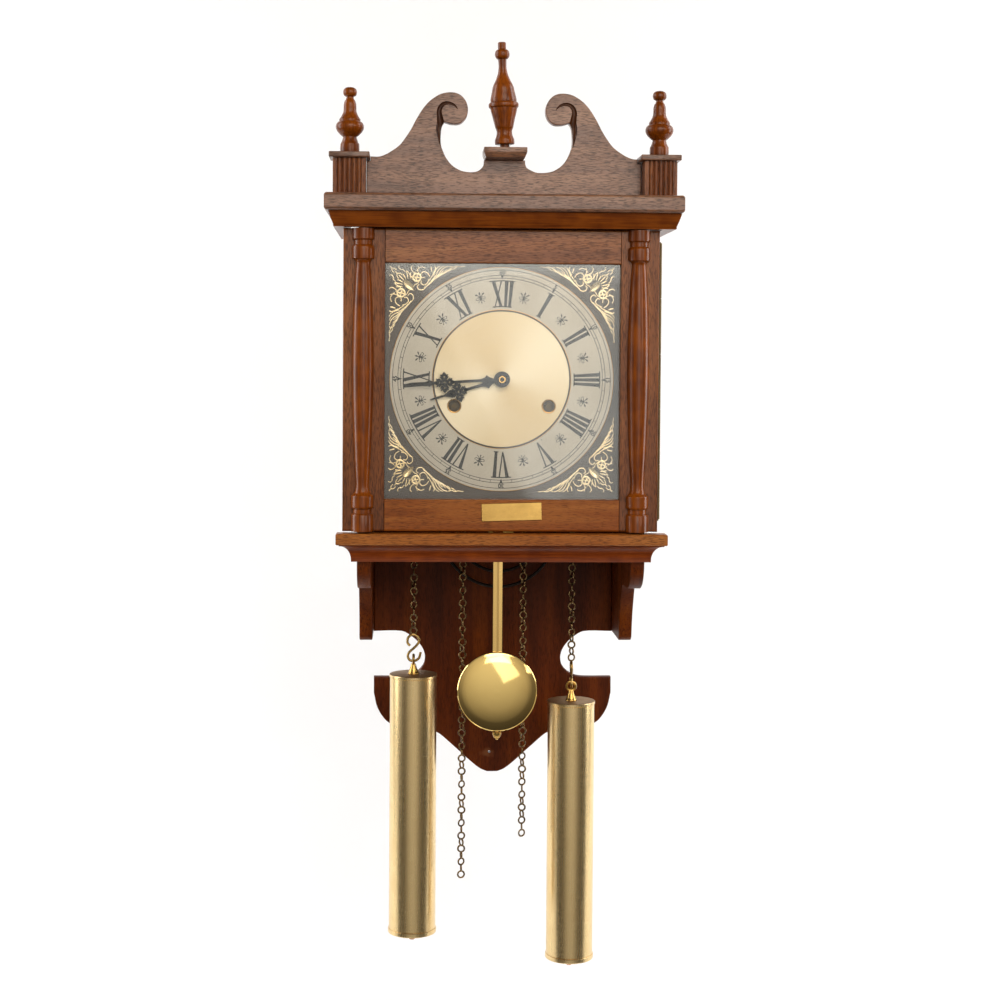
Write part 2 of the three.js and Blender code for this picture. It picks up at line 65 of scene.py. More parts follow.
def addNode(tree, kind, values=None, links=None, stops=None, **settings):
    node = tree.nodes.new("ShaderNode" + kind)
    for name, value in settings.items():
        setattr(node, name, value)
    for name, value in (values or {}).items():
        node.inputs[name].default_value = value
    for name, source in (links or {}).items():
        tree.links.new(source, node.inputs[name])
    for i, (place, colour) in enumerate(stops or []):
        ramp = node.color_ramp.elements
        element = ramp[i] if i < 2 else ramp.new(place)
        element.position = place
        element.color = linear(colour)
    return node


def newMaterial(name, values):
    material = bpy.data.materials.new(name)
    material.use_nodes = True
    tree = material.node_tree
    shader = tree.nodes["Principled BSDF"]
    for key, value in values.items():
        shader.inputs[key].default_value = value
    coords = addNode(tree, "TexCoord")
    return material, tree, shader, coords.outputs["Object"]


# mesh helpers

def fair(points, steps=6, closed=False):
    # a smooth line through the points; a point given twice in a row makes a corner
    points = [Vector(p) for p in points]
    count = len(points)
    line = []
    for i in range(count if closed else count - 1):
        a, b = points[i], points[(i + 1) % count]
        reach = (b - a).length
        if reach < 1e-9:
            continue
        before = points[i - 1] if closed or i > 0 else a
        after = points[(i + 2) % count] if closed or i + 2 < count else b
        cornerA, cornerB = (a - before).length < 1e-9, (after - b).length < 1e-9
        leave = (b - a) if cornerA else (b - before) * (reach / ((a - before).length + reach))
        arrive = (b - a) if cornerB else (after - a) * (reach / ((after - b).length + reach))
        parts = 1 if cornerA and cornerB else steps
        for k in range(parts):
            t = k / parts
            line.append(a * (2 * t ** 3 - 3 * t ** 2 + 1) + leave * (t ** 3 - 2 * t ** 2 + t)
                        + b * (3 * t ** 2 - 2 * t ** 3) + arrive * (t ** 3 - t ** 2))
    if not closed:
        line.append(points[-1])
    return line


def mirrored(points):
    # an outline from its right half, which runs from the top centre round to the foot
    return list(points) + [Vector((-p[0], *p[1:])) for p in reversed(points)]


def finishPiece(bm, name, materials, body, nodes=(), angle=35, merge=True, flatOver=5e-4):
    if merge:
        bmesh.ops.remove_doubles(bm, verts=bm.verts, dist=2e-6)
        bmesh.ops.recalc_face_normals(bm, faces=bm.faces)
    mesh = bpy.data.meshes.new(name)
    bm.to_mesh(mesh)
    bm.free()
    return placePiece(mesh, name, materials, body, nodes, angle, flatOver)


def placePiece(mesh, name, materials, body, nodes=(), angle=35, flatOver=5e-4):
    piece = bpy.data.objects.new(name, mesh)
    bpy.context.scene.collection.objects.link(piece)
    for material in materials if isinstance(materials, list) else [materials]:
        mesh.materials.append(material)
    mesh.shade_smooth()
    mesh.set_sharp_from_angle(angle=math.radians(angle))
    # broad faces stay flat, so that a rounded edge doesn't shade the whole board
    for face in mesh.polygons:
        if face.area > flatOver:
            face.use_smooth = False
    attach(piece, body)
    if nodes:
        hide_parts(*nodes)
    return piece


def dressNode(name, material):
    # a CAD node whose shape is right keeps its mesh and takes a better material
    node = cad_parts[name]
    for place in node.material_slots:
        place.material = material
    if not node.material_slots:
        node.data.materials.append(material)


def prism(bm, points, direction):
    # a flat outline of points in metres, pushed along direction
    face = bm.faces.new([bm.verts.new(p) for p in points])
    grown = bmesh.ops.extrude_face_region(bm, geom=[face])
    moved = [g for g in grown["geom"] if isinstance(g, bmesh.types.BMVert)]
    bmesh.ops.translate(bm, verts=moved, vec=direction)
    return moved


def frontPrism(bm, points, back, front):
    # outline of (x, height) in mm, from y = back to y = front in metres
    return prism(bm, [(p[0] * mm, back, up(p[1])) for p in points], (0, front - back, 0))


def block(bm, low, high):
    size = Vector(high) - Vector(low)
    place = Matrix.Translation((Vector(low) + Vector(high)) / 2) @ Matrix.Diagonal((*size, 1))
    return bmesh.ops.create_cube(bm, size=1, matrix=place)["verts"]


def ease(bm, width, test=None, segments=3, sharp=25):
    # rounds the sharp edges that pass the test
    edges = []
    for edge in bm.edges:
        if len(edge.link_faces) != 2 or edge.calc_face_angle(0) < math.radians(sharp):
            continue
        middle = (edge.verts[0].co + edge.verts[1].co) / 2
        if test is None or test(middle, edge):
            edges.append(edge)
    bmesh.ops.bevel(bm, geom=edges, offset=width * mm, segments=segments, profile=0.5,
                    affect="EDGES", material=-1, clamp_overlap=True)


def turn(bm, profile, centre, axis=(0, 0, 1), out=(1, 0, 0), steps=48, sweep=math.tau, loop=False):
    # profile of (radius, distance along the axis) in mm, turned about the centre
    axis, out, centre = Vector(axis), Vector(out), Vector(centre)
    verts = [bm.verts.new(centre + out * r * mm + axis * d * mm) for r, d in profile]
    edges = [bm.edges.new(pair) for pair in zip(verts, verts[1:])]
    if loop:
        edges.append(bm.edges.new((verts[-1], verts[0])))
    bmesh.ops.spin(bm, geom=verts + edges, cent=centre, axis=axis, angle=sweep, steps=steps,
                   use_merge=sweep > 6.28, use_duplicate=False)


def addMesh(bm, mesh, matrix):
    # adds a copy of a mesh at a place
    first = len(bm.verts)
    bm.from_mesh(mesh)
    bm.verts.ensure_lookup_table()
    bmesh.ops.transform(bm, matrix=matrix, verts=bm.verts[first:])


def wire(paths, thick, closed=False, sides=2):
    # round wires along paths of (x, y, z) or (x, y, z, share of the thickness), in metres
    curve = bpy.data.curves.new("wire", "CURVE")
    curve.dimensions = "3D"
    curve.bevel_depth = thick
    curve.bevel_resolution = sides
    curve.use_fill_caps = not closed
    for path in paths:
        spline = curve.splines.new("POLY")
        spline.points.add(len(path) - 1)
        for point, place in zip(spline.points, path):
            point.co = (*place[:3], 1)
            point.radius = place[3] if len(place) > 3 else 1
        spline.use_cyclic_u = closed
    return meshFrom(bpy.data.objects.new("wire", curve))


def plate(outlines, thick, edge=0.0):
    # a flat plate from outlines of (x, z) in mm, holes among them, its front on y = 0
    curve = bpy.data.curves.new("plate", "CURVE")
    curve.dimensions = "2D"
    curve.fill_mode = "BOTH"
    curve.extrude = (thick / 2 - edge) * mm
    curve.bevel_depth = edge * mm
    curve.offset = -edge * mm
    curve.bevel_resolution = 1
    for outline in outlines:
        spline = curve.splines.new("POLY")
        spline.points.add(len(outline) - 1)
        for point, place in zip(spline.points, outline):
            point.co = (place[0] * mm, place[1] * mm, 0, 1)
        spline.use_cyclic_u = True
    mesh = meshFrom(bpy.data.objects.new("plate", curve))
    mesh.transform(Matrix.Translation((0, thick / 2 * mm, 0)) @ Matrix.Rotation(math.pi / 2, 4, "X"))
    return mesh


def meshFrom(source):
    # the mesh of a curve, a text or an object with modifiers, and the source removed
    bpy.context.scene.collection.objects.link(source)
    bpy.context.view_layer.update()
    mesh = bpy.data.meshes.new_from_object(
        source.evaluated_get(bpy.context.evaluated_depsgraph_get()))
    bpy.data.objects.remove(source)
    return mesh


def carve(bm, tools):
    # cuts the tools' shapes out of a closed mesh; their material index marks the cut faces
    def loose(source):
        bmesh.ops.remove_doubles(source, verts=source.verts, dist=1e-6)
        bmesh.ops.recalc_face_normals(source, faces=source.faces)
        mesh = bpy.data.meshes.new("carve")
        source.to_mesh(mesh)
        source.free()
        for name in ("body", "cut"):
            mesh.materials.append(bpy.data.materials.get(name) or bpy.data.materials.new(name))
        return bpy.data.objects.new("carve", mesh)
    target, cutter = loose(bm), loose(tools)
    for face in cutter.data.polygons:
        face.material_index = 1
    bpy.context.scene.collection.objects.link(cutter)
    cut = target.modifiers.new("cut", "BOOLEAN")
    cut.operation = "DIFFERENCE"
    cut.object = cutter
    cut.solver = "EXACT"
    mesh = meshFrom(target)
    bpy.data.objects.remove(cutter)
    made = bmesh.new()
    made.from_mesh(mesh)
    for name in ("body", "cut"):
        bpy.data.materials.remove(bpy.data.materials[name])
    return made


# camera, a little to the left of the clock

camera = {
    "place": (-0.08015, -1.7827, -0.09167),
    "turn": -0.0400, "tilt": -0.0317, "roll": -0.0067,
    "lens": 65.09, "shiftX": 0.0149, "shiftY": -0.088,
}
viewer = bpy.data.objects.new("camera", bpy.data.cameras.new("camera"))
viewer.data.sensor_width = 36
viewer.data.lens = camera["lens"]
viewer.data.shift_x = camera["shiftX"]
viewer.data.shift_y = camera["shiftY"]
viewer.data.clip_start = 0.01
viewer.matrix_world = (
    Matrix.Translation(camera["place"]) @ Matrix.Rotation(camera["turn"], 4, "Z")
    @ Matrix.Rotation(math.pi / 2 + camera["tilt"], 4, "X") @ Matrix.Rotation(-camera["roll"], 4, "Z"))
bpy.context.scene.collection.objects.link(viewer)
bpy.context.scene.camera = viewer

# light and backdrop

bpy.context.scene.view_settings.view_transform = "Standard"

backdrop = {"wall": 0.9, "floor": -0.95, "wide": 1.8, "near": -0.35, "colour": "#F2F3F5", "bend": 0.5}


def makeBackdrop():
    # one pale sheet: floor, a bend and a wall well behind the clock
    bm = bmesh.new()
    wall, floor, bend = backdrop["wall"], backdrop["floor"], backdrop["bend"]
    line = [(-backdrop["wide"], backdrop["near"], floor), (-backdrop["wide"], wall - bend, floor)]
    for k in range(1, 9):
        a = k / 8 * math.pi / 2
        line.append((-backdrop["wide"], wall - bend + bend * math.sin(a),
                     floor + bend - bend * math.cos(a)))
    line.append((-backdrop["wide"], wall, 1.9))
    verts = [bm.verts.new(p) for p in line]
    edges = [bm.edges.new(pair) for pair in zip(verts, verts[1:])]
    grown = bmesh.ops.extrude_edge_only(bm, edges=edges)
    moved = [g for g in grown["geom"] if isinstance(g, bmesh.types.BMVert)]
    bmesh.ops.translate(bm, verts=moved, vec=(2 * backdrop["wide"], 0, 0))
    bm.normal_update()
    bmesh.ops.reverse_faces(bm, faces=[f for f in bm.faces if f.normal.z < f.normal.y])
    mesh = bpy.data.meshes.new("backdrop")
    bm.to_mesh(mesh)
    bm.free()
    mesh.shade_smooth()
    # matt seamless paper, faintly mottled
    material, tree, shader, place = newMaterial("seamless_paper", {"Roughness": 0.9})
    fibre = addNode(tree, "TexNoise", {"Scale": 3.0, "Detail": 2.0}, {"Vector": place})
    tone = addNode(tree, "ValToRGB", links={"Fac": fibre.outputs["Fac"]},
                   stops=[(0.3, "#EFF0F2"), (0.7, backdrop["colour"])])
    tree.links.new(tone.outputs["Color"], shader.inputs["Base Color"])
    # the paper is clear from its back, so that the clock can be seen from behind too
    side = addNode(tree, "NewGeometry")
    clear = addNode(tree, "BsdfTransparent")
    both = addNode(tree, "MixShader", links={0: side.outputs["Backfacing"], 1: shader.outputs["BSDF"],
                                             2: clear.outputs["BSDF"]})
    tree.links.new(both.outputs["Shader"], tree.nodes["Material Output"].inputs["Surface"])
    mesh.materials.append(material)
    sheet = bpy.data.objects.new("backdrop", mesh)
    bpy.context.scene.collection.objects.link(sheet)


# name, place, aim, width, height, watts, colour; the sheen cards stand just behind the camera,
# where the glass, the varnish and the brass mirror them
lamps = [
    ("panelAbove", (0.30, -2.3, 1.15), (0, 0, 0.0), 1.6, 0.9, 20, "#FFF3E4"),
    ("panelRight", (1.5, -1.9, 0.55), (0, 0, -0.1), 0.7, 1.3, 10, "#FFF4E6"),
    ("sheenTop", (0.12, -1.95, 0.27), (0.12, 0, 0.27), 0.8, 0.42, 2.6, "#FFF6EA"),
    ("fillLeft", (-2.4, -1.0, 0.1), (0, 0, -0.1), 1.2, 2.0, 5, "#F8F6F4"),
    ("wallLeft", (-2.2, 0.1, 0.4), (-0.4, 0.9, -0.1), 1.0, 2.4, 46, "#FFFFFF"),
    ("wallRight", (2.2, 0.1, 0.4), (0.4, 0.9, -0.1), 1.0, 2.4, 46, "#FFFFFF"),
]
sheenCard = {"place": (0.245, -1.9, -0.02), "lean": 0.4636, "wide": 0.5, "high": 0.9, "watts": 1.7}
# brightness of the room by direction: 0 is straight to the side or behind, 1 is behind the camera
room = {"strength": 1.0, "below": 0.35, "steps": [(0.0, "#4C4844"), (1.0, "#FFFBF4"), (0.55, "#5E5A54"),
                                                  (0.8, "#857F77"), (0.9, "#D6D0C6")]}


def addLamp(name, place, facing, wide, high, watts, colour):
    light = bpy.data.lights.new(name, "AREA")
    light.shape = "RECTANGLE"
    light.size, light.size_y = wide, high
    light.energy = watts
    light.color = linear(colour)[:3]
    lamp = bpy.data.objects.new(name, light)
    lamp.matrix_world = Matrix.Translation(place) @ facing
    bpy.context.scene.collection.objects.link(lamp)


def makeLights():
    for name, place, aim, wide, high, watts, colour in lamps:
        direction = Vector(aim) - Vector(place)
        addLamp(name, place, direction.to_track_quat("-Z", "Y").to_matrix().to_4x4(), wide, high, watts,
                colour)
    c = sheenCard
    facing = Matrix.Rotation(-c["lean"], 4, "Y") @ Matrix.Rotation(math.pi / 2, 4, "X")
    addLamp("sheenGlass", c["place"], facing, c["wide"], c["high"], c["watts"], "#FFFFFF")
    world = bpy.data.worlds.new("room")
    bpy.context.scene.world = world
    world.use_nodes = True
    tree = world.node_tree
    way = addNode(tree, "TexCoord")
    axes = addNode(tree, "SeparateXYZ", links={0: way.outputs["Generated"]})
    front = addNode(tree, "Math", {1: -1.0}, {0: axes.outputs["Y"]}, operation="MULTIPLY")
    tone = addNode(tree, "ValToRGB", links={"Fac": front.outputs["Value"]}, stops=room["steps"])
    height = addNode(tree, "MapRange", {"From Min": -0.6, "From Max": 0.3,
                                        "To Min": room["below"] * room["strength"],
                                        "To Max": room["strength"]}, {"Value": axes.outputs["Z"]})
    tree.links.new(tone.outputs["Color"], tree.nodes["Background"].inputs["Color"])
    tree.links.new(height.outputs["Result"], tree.nodes["Background"].inputs["Strength"])


makeBackdrop()
makeLights()
print("camera, lights and backdrop made")


# Walnut under satin lacquer: open pores show as short dark lines along the grain, 0.3 mm wide
# in the wood and drawn 0.7 mm wide so that they show, over stripes 5 to 20 mm wide.
walnut = {
    "poreWide": 0.7, "poreLong": 7.0, "stripeWide": 9.0, "stripeLong": 160.0,
    "figureWide": 45.0, "figureLong": 240.0, "curl": 0.6,
}


def walnutMaterial(name, along, dark, mid, light, pore, gloss=0.36, coat=0.22, seed=0.0, poreAmount=0.6,
                   shine=0.3):
    material, tree, shader, place = newMaterial(name, {
        "IOR": 1.5, "Specular IOR Level": shine, "Coat Weight": coat, "Coat Roughness": 0.2, "Coat IOR": 1.5})

    def grained(wide, long):
        # stretched so that one unit is `wide` across the grain and `long` along it
        scale = [1 / (wide * mm)] * 3
        scale["xyz".index(along)] = 1 / (long * mm)
        return addNode(tree, "Mapping", {"Scale": scale, "Location": (seed, seed * 0.7, seed * 1.3)},
                       {"Vector": place}).outputs["Vector"]
    figure = addNode(tree, "TexNoise", {"Scale": 1.0, "Detail": 3.0, "Distortion": walnut["curl"]},
                     {"Vector": grained(walnut["figureWide"], walnut["figureLong"])})
    stripe = addNode(tree, "TexNoise", {"Scale": 1.0, "Detail": 5.0, "Roughness": 0.62, "Distortion": 0.35},
                     {"Vector": grained(walnut["stripeWide"], walnut["stripeLong"])})
    both = addNode(tree, "Mix", {"Factor": 0.5}, {"A": figure.outputs["Fac"], "B": stripe.outputs["Fac"]})
    base = addNode(tree, "ValToRGB", links={"Fac": both.outputs["Result"]},
                   stops=[(0.36, dark), (0.64, light), (0.5, mid)])
    pores = addNode(tree, "TexNoise", {"Scale": 1.0, "Detail": 2.0, "Roughness": 0.55, "Distortion": 0.25},
                    {"Vector": grained(walnut["poreWide"], walnut["poreLong"])})
    patch = addNode(tree, "TexNoise", {"Scale": 38.0, "Detail": 1.0}, {"Vector": place})
    reach = addNode(tree, "Math", {1: 0.16}, {0: patch.outputs["Fac"]}, operation="MULTIPLY")
    level = addNode(tree, "Math", links={0: pores.outputs["Fac"], 1: reach.outputs["Value"]},
                    operation="ADD")
    openPore = addNode(tree, "MapRange", {"From Min": 0.59, "From Max": 0.68, "To Max": poreAmount},
                    {"Value": level.outputs["Value"]})
    colour = addNode(tree, "MixRGB", {"Color2": linear(pore)},
                     {"Fac": openPore.outputs["Result"], "Color1": base.outputs["Color"]})
    tree.links.new(colour.outputs["Color"], shader.inputs["Base Color"])
    rough = addNode(tree, "MapRange", {"To Min": gloss, "To Max": gloss + 0.28},
                    {"Value": openPore.outputs["Result"]})
    tree.links.new(rough.outputs["Result"], shader.inputs["Roughness"])
    bump = addNode(tree, "Bump", {"Strength": 0.5, "Distance": 0.00025},
                   {"Height": openPore.outputs["Result"]}, invert=True)
    tree.links.new(bump.outputs["Normal"], shader.inputs["Normal"])
    return material


# Stained and lacquered beech, glossy: fine straight grain 1.5 mm wide under an orange-brown stain,
# with painted shade that darkens it towards deep brown in the hollows.
def stainedMaterial(name, along, dark, light, gloss=0.34, seed=0.0):
    material, tree, shader, place = newMaterial(name, {
        "IOR": 1.5, "Specular IOR Level": 0.2, "Roughness": gloss, "Coat Weight": 0.2,
        "Coat Roughness": 0.14, "Coat IOR": 1.5})
    scale = [1 / (1.5 * mm)] * 3
    scale["xyz".index(along)] = 1 / (30 * mm)
    coords = addNode(tree, "Mapping", {"Scale": scale, "Location": (seed, seed, seed)}, {"Vector": place})
    grain = addNode(tree, "TexNoise", {"Scale": 1.0, "Detail": 4.0, "Distortion": 0.3},
                    {"Vector": coords.outputs["Vector"]})
    blotch = addNode(tree, "TexNoise", {"Scale": 55.0, "Detail": 2.0}, {"Vector": place})
    both = addNode(tree, "Mix", {"Factor": 0.45}, {"A": grain.outputs["Fac"], "B": blotch.outputs["Fac"]})
    tone = addNode(tree, "ValToRGB", links={"Fac": both.outputs["Result"]},
                   stops=[(0.38, dark), (0.62, light)])
    # painted shade: ambient occlusion darkens the colour in hollows and creases, where shade falls
    hollow = addNode(tree, "AmbientOcclusion", {"Distance": 0.006}, samples=4)
    shade = addNode(tree, "MapRange", {"From Min": 0.35, "From Max": 0.9, "To Min": 0.45, "To Max": 1.0},
                    {"Value": hollow.outputs["AO"]})
    colour = addNode(tree, "MixRGB", {"Color1": linear("#2A0F02")},
                     {"Fac": shade.outputs["Result"], "Color2": tone.outputs["Color"]})
    tree.links.new(colour.outputs["Color"], shader.inputs["Base Color"])
    bump = addNode(tree, "Bump", {"Strength": 0.12, "Distance": 0.0002}, {"Height": grain.outputs["Fac"]})
    tree.links.new(bump.outputs["Normal"], shader.inputs["Normal"])
    return material


# Metal with a grain: fine marks `wide` mm across and `long` mm along one axis, drawn in its
# roughness and tone, with faint stains.
def metalMaterial(name, colour, stain, rough, wide=0.6, long=60.0, along="z", streak=0.06,
                  stainAmount=0.3, tilt=0.0, bumpHeight=0.00002):
    material, tree, shader, place = newMaterial(name, {"Metallic": 1.0})
    scale = [1 / (wide * mm)] * 3
    scale["xyz".index(along)] = 1 / (long * mm)
    coords = addNode(tree, "Mapping", {"Scale": scale, "Rotation": (0, tilt, 0)}, {"Vector": place})
    marks = addNode(tree, "TexNoise", {"Scale": 1.0, "Detail": 3.0}, {"Vector": coords.outputs["Vector"]})
    blotch = addNode(tree, "TexNoise", {"Scale": 60.0, "Detail": 4.0, "Roughness": 0.6}, {"Vector": place})
    amount = addNode(tree, "MapRange", {"From Min": 0.45, "From Max": 0.75, "To Max": stainAmount},
                     {"Value": blotch.outputs["Fac"]})
    tone = addNode(tree, "MixRGB", {"Color1": linear(colour), "Color2": linear(stain)},
                   {"Fac": amount.outputs["Result"]})
    tree.links.new(tone.outputs["Color"], shader.inputs["Base Color"])
    both = addNode(tree, "Mix", {"Factor": 0.35}, {"A": marks.outputs["Fac"], "B": blotch.outputs["Fac"]})
    spread = addNode(tree, "MapRange", {"From Min": 0.3, "From Max": 0.7,
                                        "To Min": rough - streak, "To Max": rough + streak},
                     {"Value": both.outputs["Result"]})
    tree.links.new(spread.outputs["Result"], shader.inputs["Roughness"])
    bump = addNode(tree, "Bump", {"Strength": 0.3, "Distance": bumpHeight}, {"Height": marks.outputs["Fac"]})
    tree.links.new(bump.outputs["Normal"], shader.inputs["Normal"])
    return material


# Spun brass: rings 0.9 mm apart round the hands' axis in the roughness and bump, and a soft fan of painted
# highlight and shade in the colour
def spunMaterial(name, colour, shade, fanTurn=0.6):
    material, tree, shader, place = newMaterial(name, {"Metallic": 0.7})
    flat = addNode(tree, "Mapping", {"Location": [-c for c in dialAxis]}, {"Vector": place})
    axes = addNode(tree, "SeparateXYZ", links={0: flat.outputs["Vector"]})
    ground = addNode(tree, "CombineXYZ", links={0: axes.outputs["X"], 1: axes.outputs["Z"]})
    radius = addNode(tree, "VectorMath", links={0: ground.outputs["Vector"]}, operation="LENGTH")
    rings = addNode(tree, "TexNoise", {"Scale": 1 / (0.9 * mm), "Detail": 2.0},
                    {"W": radius.outputs["Value"]}, noise_dimensions="1D")
    # painted highlight and shade: the colour swings between the bright tone and the shade tone with the angle
    # round the axis
    angle = addNode(tree, "Math", links={0: axes.outputs["Z"], 1: axes.outputs["X"]}, operation="ARCTAN2")
    twice = addNode(tree, "Math", {1: 2.0, 2: fanTurn}, {0: angle.outputs["Value"]}, operation="MULTIPLY_ADD")
    wave = addNode(tree, "Math", links={0: twice.outputs["Value"]}, operation="SINE")
    fine = addNode(tree, "Math", {1: 0.35}, {0: rings.outputs["Fac"]}, operation="MULTIPLY")
    fan = addNode(tree, "Math", {1: 0.3}, {0: wave.outputs["Value"], 2: fine.outputs["Value"]},
                  operation="MULTIPLY_ADD")
    share = addNode(tree, "MapRange", {"From Min": -0.2, "From Max": 0.5}, {"Value": fan.outputs["Value"]})
    tone = addNode(tree, "MixRGB", {"Color1": linear(shade), "Color2": linear(colour)},
                   {"Fac": share.outputs["Result"]})
    tree.links.new(tone.outputs["Color"], shader.inputs["Base Color"])
    spread = addNode(tree, "MapRange", {"To Min": 0.46, "To Max": 0.56}, {"Value": rings.outputs["Fac"]})
    tree.links.new(spread.outputs["Result"], shader.inputs["Roughness"])
    bump = addNode(tree, "Bump", {"Strength": 0.2, "Distance": 0.00003}, {"Height": rings.outputs["Fac"]})
    tree.links.new(bump.outputs["Normal"], shader.inputs["Normal"])
    return material


# Even finishes with a fine grit: enamel, printing ink, blasted plate
def gritMaterial(name, colour, patch, rough, metallic=0.0, grit=0.7, spreadBy=0.08, coat=0.0):
    material, tree, shader, place = newMaterial(name, {"Metallic": metallic, "Coat Weight": coat,
                                                       "Coat Roughness": 0.15})
    fine = addNode(tree, "TexNoise", {"Scale": 1 / (grit * mm), "Detail": 3.0}, {"Vector": place})
    broad = addNode(tree, "TexNoise", {"Scale": 28.0, "Detail": 3.0}, {"Vector": place})
    both = addNode(tree, "Mix", {"Factor": 0.5}, {"A": fine.outputs["Fac"], "B": broad.outputs["Fac"]})
    tone = addNode(tree, "ValToRGB", links={"Fac": both.outputs["Result"]},
                   stops=[(0.35, patch), (0.65, colour)])
    tree.links.new(tone.outputs["Color"], shader.inputs["Base Color"])
    spread = addNode(tree, "MapRange", {"From Min": 0.3, "From Max": 0.7,
                                        "To Min": rough - spreadBy, "To Max": rough + spreadBy},
                     {"Value": fine.outputs["Fac"]})
    tree.links.new(spread.outputs["Result"], shader.inputs["Roughness"])
    bump = addNode(tree, "Bump", {"Strength": 0.25, "Distance": 0.00004}, {"Height": fine.outputs["Fac"]})
    tree.links.new(bump.outputs["Normal"], shader.inputs["Normal"])
    return material


# Float glass, 2 mm: clear, with the mirror part of its face rising towards grazing angles and
# a trace of wiping haze.
def glassMaterial():
    material, tree, shader, place = newMaterial("float_glass", {
        "Base Color": linear("#F7FBF8"), "Metallic": 1.0})
    face = addNode(tree, "Fresnel", {"IOR": 1.5})
    smear = addNode(tree, "TexNoise", {"Scale": 22.0, "Detail": 3.0, "Distortion": 1.5}, {"Vector": place})
    haze = addNode(tree, "MapRange", {"From Min": 0.4, "From Max": 0.7, "To Min": 0.0, "To Max": 0.012},
                   {"Value": smear.outputs["Fac"]})
    share = addNode(tree, "Math", links={0: face.outputs["Fac"], 1: haze.outputs["Result"]}, operation="ADD")
    tree.links.new(share.outputs["Value"], shader.inputs["Alpha"])
    rough = addNode(tree, "MapRange", {"To Min": 0.03, "To Max": 0.08}, {"Value": smear.outputs["Fac"]})
    tree.links.new(rough.outputs["Result"], shader.inputs["Roughness"])
    return material


# Lacquered walnut: warm, open-pored and softly shining, in copies of different tone; the top boards
# are lighter and greyer, partly a painted sheen on the lacquer, and the inner and lower ones are darker and
# duller
walnutUp = walnutMaterial("walnut_upright", "z", "#62320F", "#7E461C", "#985C2C", "#2A1406", shine=0.2)
# the top boards: partly painted sheen, their colour lighter and greyer as where light glances off the lacquer
walnutAcross = walnutMaterial("walnut_across", "x", "#664029", "#84583C", "#9E7253", "#2A1810", coat=0.4,
                              seed=3.1, poreAmount=0.7, shine=0.5)
walnutFoot = walnutMaterial("walnut_bracket", "z", "#4A1B01", "#642A02", "#7E3C06", "#220B02", gloss=0.45,
                            coat=0.05, seed=5.7, shine=0.12)
walnutBack = walnutMaterial("walnut_back", "z", "#421802", "#582303", "#6E3206", "#200A02", gloss=0.48,
                            coat=0.03, seed=9.2, poreAmount=0.4, shine=0.1)
# cut walls of the gouges, screw hole and pockets: darker, end grain that takes more stain and partly painted
# shade of the recesses
grooveWood = walnutMaterial("walnut_groove", "z", "#3A1C0C", "#4E2A12", "#643A1C", "#1C0C04", seed=2.2,
                            shine=0.15)
walnutPost = walnutMaterial("walnut_post", "z", "#562605", "#723A0E", "#8E501C", "#200E04", seed=7.7,
                            shine=0.2)
walnutRail = walnutMaterial("walnut_rail", "x", "#743E18", "#925628", "#AC703E", "#32180A", seed=12.4)
walnutLow = walnutMaterial("walnut_low_rail", "x", "#783A0A", "#924E16", "#AA6628", "#3A1A06", coat=0.06,
                           seed=18.3,
                           poreAmount=0.45, shine=0.2)
walnutBase = walnutMaterial("walnut_base", "x", "#864410", "#A25C1E", "#B87432", "#3E1C06", coat=0.06,
                            seed=15.2,
                            shine=0.2)
# beech off the lathe or the moulding plane: closer grain than the boards, redder and glossier
beechTurned = stainedMaterial("beech_turned", "z", "#5C2802", "#8A4404", gloss=0.3)
beechMoulded = stainedMaterial("beech_moulded", "x", "#622C06", "#86440E", gloss=0.38, seed=4.0)
beechCove = stainedMaterial("beech_cove", "x", "#642600", "#883C04", gloss=0.42, seed=6.0)
# drawn brass tube, brushed along its length: a broad soft reflection with faint long streaks
brassSatin = metalMaterial("brass_satin", "#E6CA94", "#C4A06A", 0.28, wide=0.5, long=70, streak=0.03,
                           stainAmount=0.2, bumpHeight=0.000005)
brassTop = metalMaterial("brass_dull_top", "#B09068", "#84684A", 0.5, wide=0.8, long=6, along="x",
                         stainAmount=0.6)
# spun and buffed brass: nearly a mirror
brassBright = metalMaterial("brass_polished", "#F4D284", "#DEB566", 0.08, wide=1.2, long=30, streak=0.02,
                            stainAmount=0.15, bumpHeight=0.000004)
brassPlate = metalMaterial("brass_plate", "#D2A85E", "#A07A3C", 0.2, wide=0.8, long=50, along="x",
                           streak=0.05, stainAmount=0.4)
brassRod = metalMaterial("brass_rod", "#EEC67C", "#D8A85A", 0.17, wide=1.2, long=60, streak=0.03,
                         stainAmount=0.15, bumpHeight=0.000005)
# machined, then aged and tarnished brass: duller and browner the less it is handled
brassPlain = metalMaterial("brass_machined", "#C6A25C", "#8C6C34", 0.28, wide=0.6, long=12, along="x",
                           streak=0.08, stainAmount=0.35)
brassAged = metalMaterial("brass_aged", "#846C48", "#3A2A1A", 0.26, wide=1.5, long=4, streak=0.08,
                          stainAmount=0.7)
brassAgedLight = metalMaterial("brass_aged_wire", "#B4945A", "#5E4522", 0.28, wide=1.5, long=4, streak=0.08,
                               stainAmount=0.6)
# tarnish and painted shade: darker still, so that the movement plate and barrels seen down the winding holes
# stand for the shade there
brassTarnishedShaded = metalMaterial("brass_tarnished", "#54452C", "#2C2216", 0.42, wide=1.2, long=20,
                               stainAmount=0.6)
# bare copper alloy and rolled steel, with the marks of the tools
copperNut = metalMaterial("copper_nut", "#B86A3A", "#7A3E1E", 0.3, wide=0.6, long=6, along="x")
steelPlain = metalMaterial("steel_rolled", "#A6A6A2", "#74706A", 0.33, wide=0.6, long=40, along="x")
